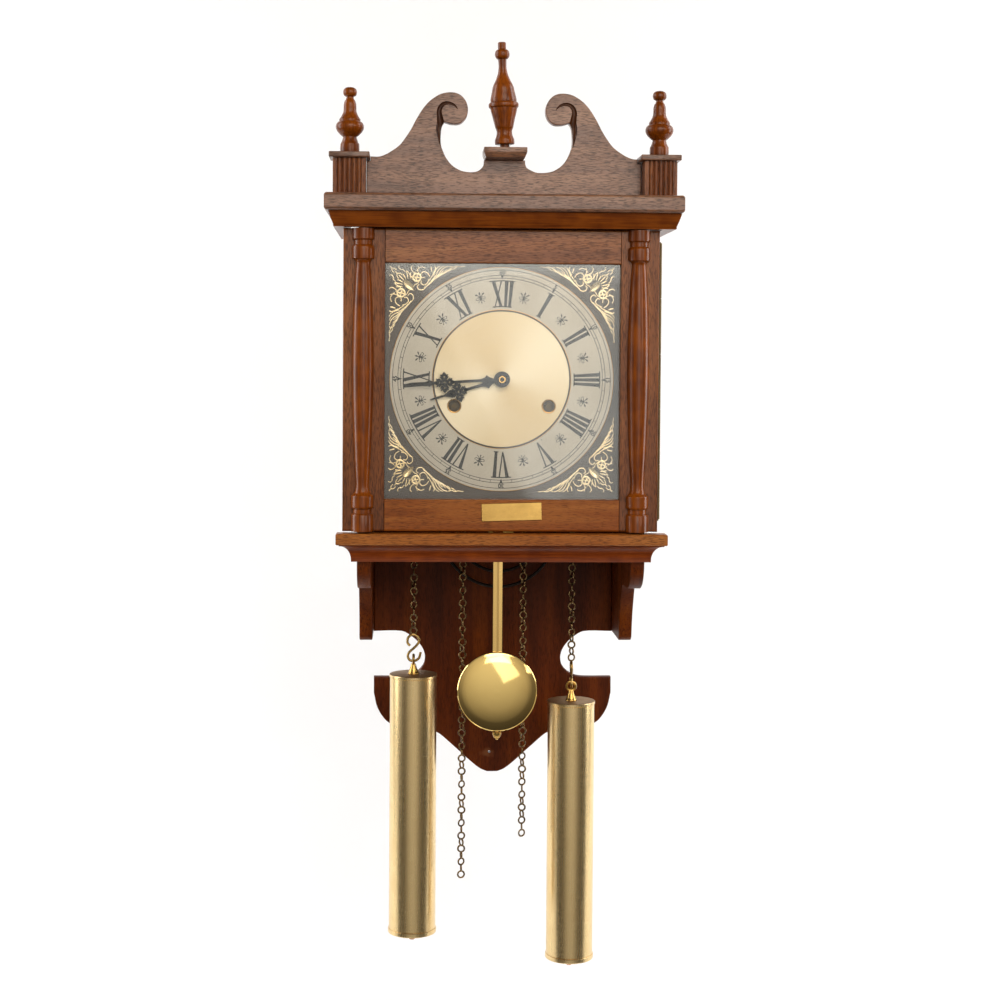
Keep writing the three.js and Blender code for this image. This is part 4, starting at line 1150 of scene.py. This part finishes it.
def makeDisc():
    c = centreDisc
    low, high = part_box("dial_center_disc")
    outlines = [circle(0, 0, c["radius"], 160), circle(0, 0, c["hole"], 32)]
    outlines += [circle(s * c["windX"], -c["windDrop"], c["wind"], 40) for s in (-1, 1)]
    mesh = plate(outlines, (high.y - low.y) / mm, c["edge"])
    bm = bmesh.new()
    addMesh(bm, mesh, Matrix.Translation((dialAxis.x, low.y, dialAxis.z)))
    finishPiece(bm, "center_disc_spun", spunBrass, "case", ("dial_center_disc",), flatOver=0)
    # bright turned rims of the winding holes
    bm = bmesh.new()
    for s in (-1, 1):
        place = (dialAxis.x + s * c["windX"] * mm, low.y, dialAxis.z - c["windDrop"] * mm)
        turn(bm, [(c["wind"] - 0.35, 0.3), (c["wind"] - 0.1, -0.25), (c["wind"] + c["rim"] * 0.5, -0.4),
                  (c["wind"] + c["rim"], -0.1), (c["wind"] + c["rim"], 0.1), (c["wind"] - 0.35, 0.6)],
             place, axis=(0, 1, 0), steps=40, loop=True)
    finishPiece(bm, "winding_hole_rims", ringEdge, "case", angle=40)


# Dial plate with its feet: the same holes as the disc
dialPlate = {"half": 113.0, "thick": 1.5, "foot": 3.0, "footX": 48.0, "footLow": 90.0, "footHigh": 182.0}


def makeDialPlate():
    c, d = centreDisc, dialPlate
    low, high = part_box("dial_plate")
    h = d["half"]
    outlines = [[(-h, -h), (h, -h), (h, h), (-h, h)], circle(0, 0, c["hole"], 32)]
    outlines += [circle(s * c["windX"], -c["windDrop"], c["wind"], 40) for s in (-1, 1)]
    bm = bmesh.new()
    addMesh(bm, plate(outlines, d["thick"], 0.2), Matrix.Translation((dialAxis.x, low.y, dialAxis.z)))
    for x in (-d["footX"], d["footX"]):
        for z in (d["footLow"], d["footHigh"]):
            block(bm, ((x - d["foot"]) * mm, low.y + d["thick"] * mm - 0.0001, up(z - d["foot"])),
                  ((x + d["foot"]) * mm, high.y, up(z + d["foot"])))
    finishPiece(bm, "dial_plate_blasted", dialBlasted, "case", ("dial_plate",), flatOver=0)


# Corner pieces: pierced scrolls, drawn for the upper half of the upper right corner and
# mirrored across its diagonal and then into the other corners. Each stroke is points of
# x and z from the hands' axis in mm, and a weight that sets how stout it is.
spandrel = {"thick": 1.0, "strokes": [
    # the long tail along the top edge, with its beads
    [(33.8, 101.6, .9), (35.2, 101.9, .35), (38.5, 101.3, .5), (41.5, 101.9, .7), (44.5, 100.9, .5),
     (47.5, 101.6, .8)],
    [(41, 101.2, .5), (43.5, 99.4, .9), (45.2, 98.6, .6)], [(45, 101, .5), (47, 98.2, 1.0), (48.8, 96.9, .7)],
    # leaves along the ring
    [(46, 100.5, .5), (49.5, 97.5, 1.2), (52.5, 95.2, 1.1), (54.2, 93.9, .5)],
    [(50, 99.0, .5), (53.5, 95.2, 1.3), (57.2, 92.6, 1.2), (59, 91.2, .5)],
    [(53, 98, .6), (57, 93.5, 1.3), (61, 90.2, 1.3), (63, 88.3, .5)],
    [(56, 96.5, .6), (60, 91.5, 1.2), (64.5, 87, 1.4), (67.2, 84.3, .6)],
    [(59, 95, .6), (63.5, 88.8, 1.1), (68, 83.9, 1.3), (70.6, 81.9, .6)],
    # tall leaf and its veins
    [(48.5, 101.8, .6), (52, 100.6, .9), (55.5, 97.6, .9), (57.5, 93.8, .7)],
    [(52.5, 101.8, .5), (55.8, 100.2, .8), (58.6, 96.6, .9), (60.2, 92.4, .6)],
    [(56, 102, .5), (58.6, 100.4, .8), (60.6, 97.2, .9), (62, 92.8, .6)],
    [(61.2, 101.8, 1.0), (60.2, 99.6, 1.3), (61.6, 96.6, 1.1), (63.4, 92.6, .8), (66, 88.6, .5)],
    [(64.6, 101, 1.1), (64.2, 98.8, 1.3), (63.4, 96.4, .7)],
    # C scroll round a bead, and the ring beside it
    [(65.4, 92.2, .6), (67.6, 95.4, .9), (71.2, 96.6, .9), (73.6, 94.4, .8), (72.6, 91.4, .7),
     (69.8, 91.2, .8)],
    [(69.4, 99.8, .7), (72.4, 100.9, .8), (75.6, 99.6, .7), (77.6, 97, .5)],
    [(66.2, 90.4, .5), (67.6, 86.6, .8), (70.4, 84.6, .9), (73.4, 86.2, .8), (73, 88.6, .7)],
    [(69.0, 82.6, .5), (71.6, 80.4, .8), (75.2, 80.6, .9), (76.8, 83.4, .8), (75, 85.2, .6)],
    [(74.6, 88.4, .6), (76.6, 86, .7), (79.2, 84.6, .6), (80.4, 82.6, .5)],
    # arms that tie the ring to the top edge
    [(79.4, 95.2, .6), (81.6, 97.8, .9), (82.2, 100.6, 1.1), (80.8, 102, .6)],
    [(75.4, 95, .5), (76.4, 98, .6), (75.6, 101.4, .5)],
    [(81, 90.8, .6), (83, 92.6, .6), (84.4, 95.6, .8), (86.6, 97.4, .6)],
    # hooks towards the corner
    [(87.6, 96.2, .5), (89.6, 98.4, 1.0), (92, 98.6, 1.0), (93.6, 100.4, .6), (93, 102, .4)],
    [(95.4, 97.6, .5), (97.2, 99.4, .9), (99.6, 99.8, .8), (101, 101.6, .5)],
    [(90.2, 93.4, .4), (92.4, 95, .8), (95, 95, .9), (96.6, 96.8, .5)],
],
    "ribs": (11, 82.4, 9.2, 14.6), "ringX": 77.2, "ringZ": 91.4, "ringR": 3.5,
    "heart": [(79.2, 79.2), (79.2, 79.2), (80.8, 84.6), (84.8, 88.6), (88.2, 88.8), (88.8, 88.2),
              (87.0, 87.0)]}


def makeSpandrels():
    s = spandrel
    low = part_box("dial_plate")[0]
    paths = []
    for stroke in s["strokes"]:
        path = [(p.x * mm, 0, p.y * mm, 0.3 + 0.36 * p.z) for p in fair(stroke, 4)]
        paths += [path, [(z, 0, x, w) for x, _, z, w in path]]
    # ribs of the shell, fanned about the diagonal
    count, foot, inner, outer = s["ribs"]
    for k in range(count):
        a = math.radians(45 + (k - (count - 1) / 2) * 17)
        root, ray = Vector((foot + 1.5, foot + 1.5)), Vector((math.cos(a), math.sin(a)))
        start = root + ray * (inner - 3)
        end = root + ray * (outer - 2.5 + 1.5 * (k % 2))
        middle = (start + end) / 2
        paths.append([(q.x * mm, 0, q.y * mm, w) for q, w in ((start, .35), (middle, .75), (end, .5))])
    parts = [wire(paths, 0.85 * mm, sides=1)]
    rings, spokes = [], []
    for x, z in ((s["ringX"], s["ringZ"]), (s["ringZ"], s["ringX"])):
        rings.append([(p[0] * mm, 0, p[1] * mm, 1) for p in circle(x, z, s["ringR"], 20)])
        for a in (0.2, 0.2 + math.pi / 2):
            spokes.append([((x + math.cos(b) * s["ringR"]) * mm, 0, (z + math.sin(b) * s["ringR"]) * mm, 1)
                           for b in (a, a + math.pi)])
    parts += [wire(rings, 0.95 * mm, closed=True, sides=1), wire(spokes, 0.6 * mm, sides=1)]
    half = fair(s["heart"], 4)
    shell = half + [Vector((p.y, p.x)) for p in reversed(half[1:-1])]
    quarter = bmesh.new()
    for part in parts:
        quarter.from_mesh(part)
    bmesh.ops.scale(quarter, vec=(1, 0.55, 1), verts=quarter.verts)
    grown = prism(quarter, [(p.x * mm, 0.0002, p.y * mm) for p in shell], (0, -0.0008, 0))
    top = [f for f in quarter.faces if len(f.verts) > 8 and all(v in grown for v in f.verts)]
    bmesh.ops.inset_region(quarter, faces=top, thickness=0.0009, depth=0.0005)
    # nothing stands behind the plate's face
    bmesh.ops.bisect_plane(quarter, geom=quarter.verts[:] + quarter.edges[:] + quarter.faces[:],
                           plane_co=(0, -0.00001, 0),
                           plane_no=(0, 1, 0), clear_outer=True)
    mesh = bpy.data.meshes.new("quarter")
    quarter.to_mesh(mesh)
    quarter.free()
    for name, sx, sz in (("upper_right", 1, 1), ("upper_left", -1, 1), ("lower_right", 1, -1),
                         ("lower_left", -1, -1)):
        bm = bmesh.new()
        addMesh(bm, mesh, Matrix.Translation((dialAxis.x, low.y, dialAxis.z)) @ Matrix.Diagonal((sx, 1, sz,
                                                                                                 1)))
        if sx * sz < 0:
            bmesh.ops.reverse_faces(bm, faces=bm.faces)
        finishPiece(bm, "spandrel_" + name, spandrelGold, "case", angle=45, merge=False)


makeDialPlate()
makeRing()
makeDisc()
makeDialPrint()
makeSpandrels()
print("dial made")


# Hands: blackened steel, pierced. Outlines are (across, along) from the hands' axis, mm
hands = {
    "hub": 7.2, "edge": 0.15, "minuteTurn": 266.7, "hourTurn": 253.8,
    "minute": {"hole": 2.0, "diamond": 13.6, "diamondHalf": 4.8, "cross": 51.9, "crossR": 9.3, "knob": 65.3,
               "knobR": 2.6, "long": 86.6, "shaft": 1.28, "tip": 1.25},
    "hour": {"hole": 3.8, "diamond": 13.6, "diamondHalf": 4.9, "cross": 40.7, "crossR": 9.2, "knob": 47.8,
             "knobR": 3.6, "long": 67.9, "shaft": 1.3, "tip": 0.9},
}


def crossOutline(at, reach):
    # four holly-leaf arms, each with a spike and two lobes
    arm = [(0.22, 0.26), (0.33, 0.38), (0.47, 0.58), (0.33, 0.56), (0.42, 0.78), (0.22, 0.76), (0.13, 0.9),
           (0, 1.04)]
    whole = arm + [(-u, v) for u, v in reversed(arm[:-1])]
    outline = []
    for k in range(4):
        a = -k * math.pi / 2
        outline += [((-u * math.cos(a) - v * math.sin(a)) * reach,
                     at + (-u * math.sin(a) + v * math.cos(a)) * reach)
                    for u, v in whole]
    return outline


def handMesh(shape):
    s = shape
    w = s["shaft"]
    at, half = s["diamond"], s["diamondHalf"]
    hub = hands["hub"]
    stem = [(w, hub - 0.6), (w, at - half - 0.6), (half * 0.62, at - 1.8), (half * 0.98, at),
            (half * 0.55, at + 1.6),
            (w, at + half + 0.8), (w * 0.9, s["cross"] - s["crossR"] * 0.55)]
    tip = [(w * 0.9, s["cross"] + s["crossR"] * 0.5), (w, s["knob"] - s["knobR"] * 1.2),
           (s["knobR"], s["knob"] - 0.4),
           (s["knobR"] * 0.9, s["knob"] + 0.6), (s["tip"], s["knob"] + s["knobR"] * 1.6),
           (s["tip"] * 1.1, s["knob"] + (s["long"] - s["knob"]) * 0.75), (s["tip"] * 0.5, s["long"] - 0.8),
           (0, s["long"])]
    bm = bmesh.new()
    for part in (stem, tip):
        outline = part + [(-u, v) for u, v in reversed(part) if u > 0]
        bm.from_mesh(plate([outline], 1.2, hands["edge"]))
    bm.from_mesh(plate([circle(0, 0, hub, 48), circle(0, 0, s["hole"], 32)], 1.2, hands["edge"]))
    leaf = crossOutline(s["cross"], s["crossR"])
    holes = [circle(0, s["cross"], s["crossR"] * 0.1, 12)]
    for k in range(4):
        a = k * math.pi / 2
        holes.append(circle(s["crossR"] * 0.52 * math.sin(a), s["cross"] + s["crossR"] * 0.52 * math.cos(a),
                            s["crossR"] * 0.09, 10))
    bm.from_mesh(plate([leaf] + holes, 1.2, hands["edge"]))
    return bm


def makeHands():
    for name, body in (("minute", "minute_works"), ("hour", "hour_works")):
        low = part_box(name + "_hand")[0]
        bm = handMesh(hands[name])
        turned = math.radians(hands[name + "Turn"])
        bmesh.ops.transform(bm, verts=bm.verts, matrix=Matrix.Translation((dialAxis.x, low.y, dialAxis.z))
                            @ Matrix.Rotation(turned, 4, "Y"))
        finishPiece(bm, name + "_hand_pierced", steelBlued, body, (name + "_hand",),
                    merge=False, flatOver=0)


# Minute arbor with the hand nut: a brass ring round the blued end of the arbor
arborShape = {
    "end": -160.9, "shoulder": -158.7,
    "body": [(1.7, -158.7), (1.7, -128), (16, -128), (16, -126.4), (1.7, -126.4), (1.7, -112.4), (0, -112.4)],
}


def makeArbor():
    a = arborShape
    centre = (dialAxis.x, 0, dialAxis.z)
    bm = bmesh.new()
    turn(bm, [(0, a["end"] + 0.2), (1.5, a["end"] + 0.2), (1.7, a["end"] + 0.4)] + a["body"], centre,
         axis=(0, 1, 0), steps=32)
    finishPiece(bm, "minute_arbor_steel", steelBlued, "minute_works", ("minute_arbor",), angle=30)
    bm = bmesh.new()
    turn(bm, [(1.75, a["end"] + 0.3), (2.0, a["end"]), (3.0, a["end"]), (3.3, a["end"] + 0.4),
              (3.3, a["shoulder"]),
              (1.75, a["shoulder"])], centre, axis=(0, 1, 0), steps=40, loop=True)
    finishPiece(bm, "hand_nut_brass", brassPlate, "minute_works", angle=30)


makeHands()
makeArbor()
print("hands made")


# Pendulum: a flat rod with a raised spine, a spun disc bob and a turned rating nut
pendulum = {
    "y": -104.0, "top": 151.8, "high": -156.0, "rodHalf": 4.5, "rodThick": 1.6, "bobRadius": 37.3,
    # distance from the bob's middle, and how far the face stands forward there
    "face": [(0, -7.0), (0, -7.0), (8, -6.78), (16, -6.2), (22, -5.45), (28, -4.4), (32, -3.45),
             (35, -2.55), (36.2, -2.15)],
}


def makePendulum():
    p = pendulum
    foot = p["high"] - p["bobRadius"]
    bm = bmesh.new()
    t, half, rodY = p["rodThick"] / 2, p["rodHalf"], p["y"] * mm
    section = [(-half, t), (-half, -t * 0.5), (-half + 0.3, -t * 0.7), (-1.0, -t * 0.75), (0, -t),
               (1.0, -t * 0.75), (half - 0.3, -t * 0.7), (half, -t * 0.5), (half, t)]
    prism(bm, [(x * mm, rodY + y * mm, up(foot + 1)) for x, y in section],
          (0, 0, (p["top"] - foot - 1) * mm))
    turn(bm, [(0, foot - 8), (1.1, foot - 8), (1.5, foot - 7.4), (1.5, foot + 6), (0, foot + 6)],
         (0, rodY, doorFoot), steps=24)
    finishPiece(bm, "pendulum_rod_brass", brassRod, "pendulum", ("pendulum_rod",), angle=20)

    r = p["bobRadius"]
    centre = (0, rodY, up(p["high"]))
    profile = [(q.x, q.y) for q in fair(p["face"], 4)]
    profile += [(36.4, -2.35), (36.9, -2.4), (r, -1.9), (r, 0.4), (36.8, 0.6), (35.5, 1.9), (24, 2.8),
                (5.2, 3.4)]
    bm = bmesh.new()
    turn(bm, profile + [(5.2, 2.2), (0, 2.2)], centre, axis=(0, 1, 0), out=(0, 0, 1), steps=128)
    finishPiece(bm, "pendulum_bob_brass", brassBright, "pendulum", ("pendulum_bob",),
                angle=28)

    bm = bmesh.new()
    turn(bm, [(1.9, -0.6), (3.8, -0.6), (4.2, -1.0), (4.2, -3.2), (3.9, -3.8), (2.9, -6.0), (2.5, -6.4),
              (1.9, -6.4)],
         (0, rodY, up(foot)), steps=36, loop=True)
    finishPiece(bm, "rating_nut_brass", brassPlain, "pendulum", ("rating_nut",), angle=30)


makePendulum()


# Gong: one flat coil of round steel wire, wound in to its block
gong = {"x": 6.8, "high": -11.6, "radius": 66.5, "wire": 1.5, "turns": 3.2, "y": -27.5}


def makeGong():
    g = gong
    path = []
    for k in range(70):
        t = k / 69
        a = math.pi / 2 - t * g["turns"] * math.tau
        r = 9 + (g["radius"] - 9) * (0.16 + 0.84 * t) * min(1, t * 12 + 0.1)
        path.append(((g["x"] + r * math.cos(a)) * mm, g["y"] * mm, up(g["high"] + r * math.sin(a))))
    bm = bmesh.new()
    bm.from_mesh(wire([fair(path, 4)], g["wire"] * mm, sides=2))
    finishPiece(bm, "gong_coil_steel", gongSteel, "case", ("gong_coil",), merge=False,
                angle=60)


makeGong()


# Chains: round rings 8 mm across, turned a quarter from one to the next
chain = {"ring": 3.15, "wire": 0.85, "pitch": 6.2, "hooked": 3.0}


def linkMesh():
    bm = bmesh.new()
    turn(bm, [(chain["ring"] + chain["wire"] * math.cos(a), chain["wire"] * math.sin(a))
              for a in (k / 6 * math.tau for k in range(6))], (0, 0, 0), axis=(0, 1, 0), steps=14, loop=True)
    bmesh.ops.remove_doubles(bm, verts=bm.verts, dist=1e-6)
    bmesh.ops.recalc_face_normals(bm, faces=bm.faces)
    mesh = bpy.data.meshes.new("link")
    bm.to_mesh(mesh)
    bm.free()
    return mesh


def makeChain(node, body):
    # rings from one end of the CAD bar to the other, a little askew as they hang
    low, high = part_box(node)
    x, y = (low.x + high.x) / 2, (low.y + high.y) / 2
    ring = linkMesh()
    foot = low.z - (chain["hooked"] if node.startswith("weight") else 0) * mm
    long = high.z - foot
    count = round((long / mm - 2 * (chain["ring"] + chain["wire"])) / chain["pitch"])
    pitch = (long - 2 * (chain["ring"] + chain["wire"]) * mm) / count
    bm = bmesh.new()
    for k in range(count + 1):
        z = foot + (chain["ring"] + chain["wire"]) * mm + k * pitch
        turned = math.pi / 2 * (k % 2) + 0.3 * math.sin(k * 2.1 + x * 90) + 0.25
        addMesh(bm, ring, Matrix.Translation((x, y, z)) @ Matrix.Rotation(turned, 4, "Z")
                @ Matrix.Rotation(0.06 * math.sin(k * 1.3), 4, "Y"))
    finishPiece(bm, node + "_links", brassAged, body, (node,), merge=False, angle=70)


for side in ("left", "right"):
    makeChain("weight_chain_" + side, "weight_" + side)
    makeChain("free_chain_" + side, "tail_" + side)
print("pendulum, gong and chains made")


# Weights: a tubular brass shell between a dull flat cap and a rimmed base, hung by an S hook
weight = {
    "radius": 22.2, "wall": 1.4, "long": 246.6, "capRim": 22.8, "capThick": 2.8,
    "cone": [(0, -0.01), (5.2, -0.01), (5.4, 0.6), (4.8, 1.6), (2.6, 7.6), (2.1, 9.6), (2.1, 9.6)],
    "ringR": 4.2, "ringWire": 1.3, "ringHigh": 13.6, "hookWire": 1.2,
    "hook": [(-3.4, 26.6), (-5.6, 29.2), (-5.2, 34.2), (-1.4, 37), (3, 36), (5.4, 32.4), (4, 28.4),
             (0.4, 24.4), (-4, 20.4),
             (-5.4, 16.6), (-3.6, 13), (0.6, 12), (5, 14.6), (6.8, 20.4)],
}


def makeWeights():
    w = weight
    for side in ("left", "right"):
        shellLow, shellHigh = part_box("weight_shell_" + side)
        x, y = (shellLow.x + shellHigh.x) / 2, (shellLow.y + shellHigh.y) / 2
        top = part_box("weight_cap_" + side)[0].z + w["capThick"] * mm
        body = "weight_" + side
        centre = (x, y, top)
        facing = 0 if side == "left" else math.pi / 2
        r = w["radius"]

        bm = bmesh.new()
        turn(bm, [(r - w["wall"], -w["long"] + 4), (r - 0.25, -w["long"] + 4), (r, -w["long"] + 4.3),
                  (r, -3.1),
                  (r - 0.25, -2.85), (r - w["wall"], -2.85)], centre, steps=96, loop=True)
        finishPiece(bm, "weight_shell_" + side + "_brass", brassSatin, body, ("weight_shell_" + side,),
                    flatOver=1)

        rim = w["capRim"]
        bm = bmesh.new()
        turn(bm, [(0, -w["capThick"]), (rim - 0.5, -w["capThick"]), (rim, -w["capThick"] + 0.4), (rim, -0.5),
                  (rim - 0.25, -0.15), (rim - 0.8, 0), (0, 0)], centre, steps=96)
        for face in bm.faces:
            face.material_index = 1 if face.calc_center_median().z > top - 0.0001 else 0
        finishPiece(bm, "weight_cap_" + side + "_disc", [brassSatin, brassTop], body, ("weight_cap_" + side,),
                    angle=25)

        bm = bmesh.new()
        turn(bm, [(q.x, q.y) for q in fair(w["cone"], 3)] + [(0, 9.6)], centre, steps=32)
        eye = [(x, y + w["ringR"] * mm * math.cos(a), top + (w["ringHigh"] + w["ringR"] * math.sin(a)) * mm)
               for a in (k / 32 * math.tau for k in range(32))]
        ringPart = wire([eye], w["ringWire"] * mm, closed=True, sides=2)
        bm.from_mesh(ringPart)
        if facing:
            bmesh.ops.rotate(bm, verts=bm.verts, cent=centre, matrix=Matrix.Rotation(facing, 3, "Z"))
        finishPiece(bm, "weight_eye_" + side, brassPlain, body, merge=False, angle=40)

        bm = bmesh.new()
        points = [(p.x * mm, 0, p.y * mm) for p in fair(w["hook"], 5)]
        bm.from_mesh(wire([points], w["hookWire"] * mm, sides=2))
        bmesh.ops.transform(bm, verts=bm.verts,
                            matrix=Matrix.Translation(centre) @ Matrix.Rotation(facing, 4, "Z"))
        finishPiece(bm, "weight_hook_" + side + "_wire", brassAgedLight, body, ("weight_hook_" + side,),
                    merge=False, angle=60)

        foot = (x, y, top - w["long"] * mm)
        bm = bmesh.new()
        turn(bm, [(0, 3.95), (r + 0.4, 3.95), (r + 0.8, 3.6), (r + 0.8, 0.4), (r + 0.5, -0.1),
                  (r - 0.6, -0.6), (r - 2, -1.0),
                  (9, -2.3), (3.9, -3.4), (3.9, -3.4), (0, -3.4)], foot, steps=96)
        finishPiece(bm, "weight_base_" + side + "_brass", brassSatin, body, ("weight_base_" + side,),
                    angle=28)
        bm = bmesh.new()
        turn(bm, [(0, -3.3), (3.4, -3.3), (3.4, -7.2), (2.8, -7.9), (0, -8.0)], foot, steps=6)
        ease(bm, 0.3, None, 2)
        finishPiece(bm, "weight_nut_" + side, copperNut, body, angle=30)


makeWeights()
print("weights made")

# the rest keeps its CAD shape and takes a finish
# the movement front plate and winding barrels take the darkest brass, partly tarnish and partly painted shade
# behind the winding holes
for node, finish in {
        "door_glass": glassFloat, "hinge_leaf_case": brassTarnishedShaded, "hinge_leaf_door": brassTarnishedShaded,
        "hanger_plate": steelPlain, "movement_front_plate": brassTarnishedShaded, "movement_back_plate": brassPlain,
        "seat_board": walnutFoot, "gong_block": brassPlain, "hammer_bracket": brassPlain,
        "pulley_bridge": steelPlain, "winding_barrel_left": brassTarnishedShaded,
        "winding_barrel_right": brassTarnishedShaded,
        "hour_pipe": brassPlain, "strike_hammer": brassPlain,
        "pulley_left": brassPlain, "pulley_right": brassPlain}.items():
    dressNode(node, finish)
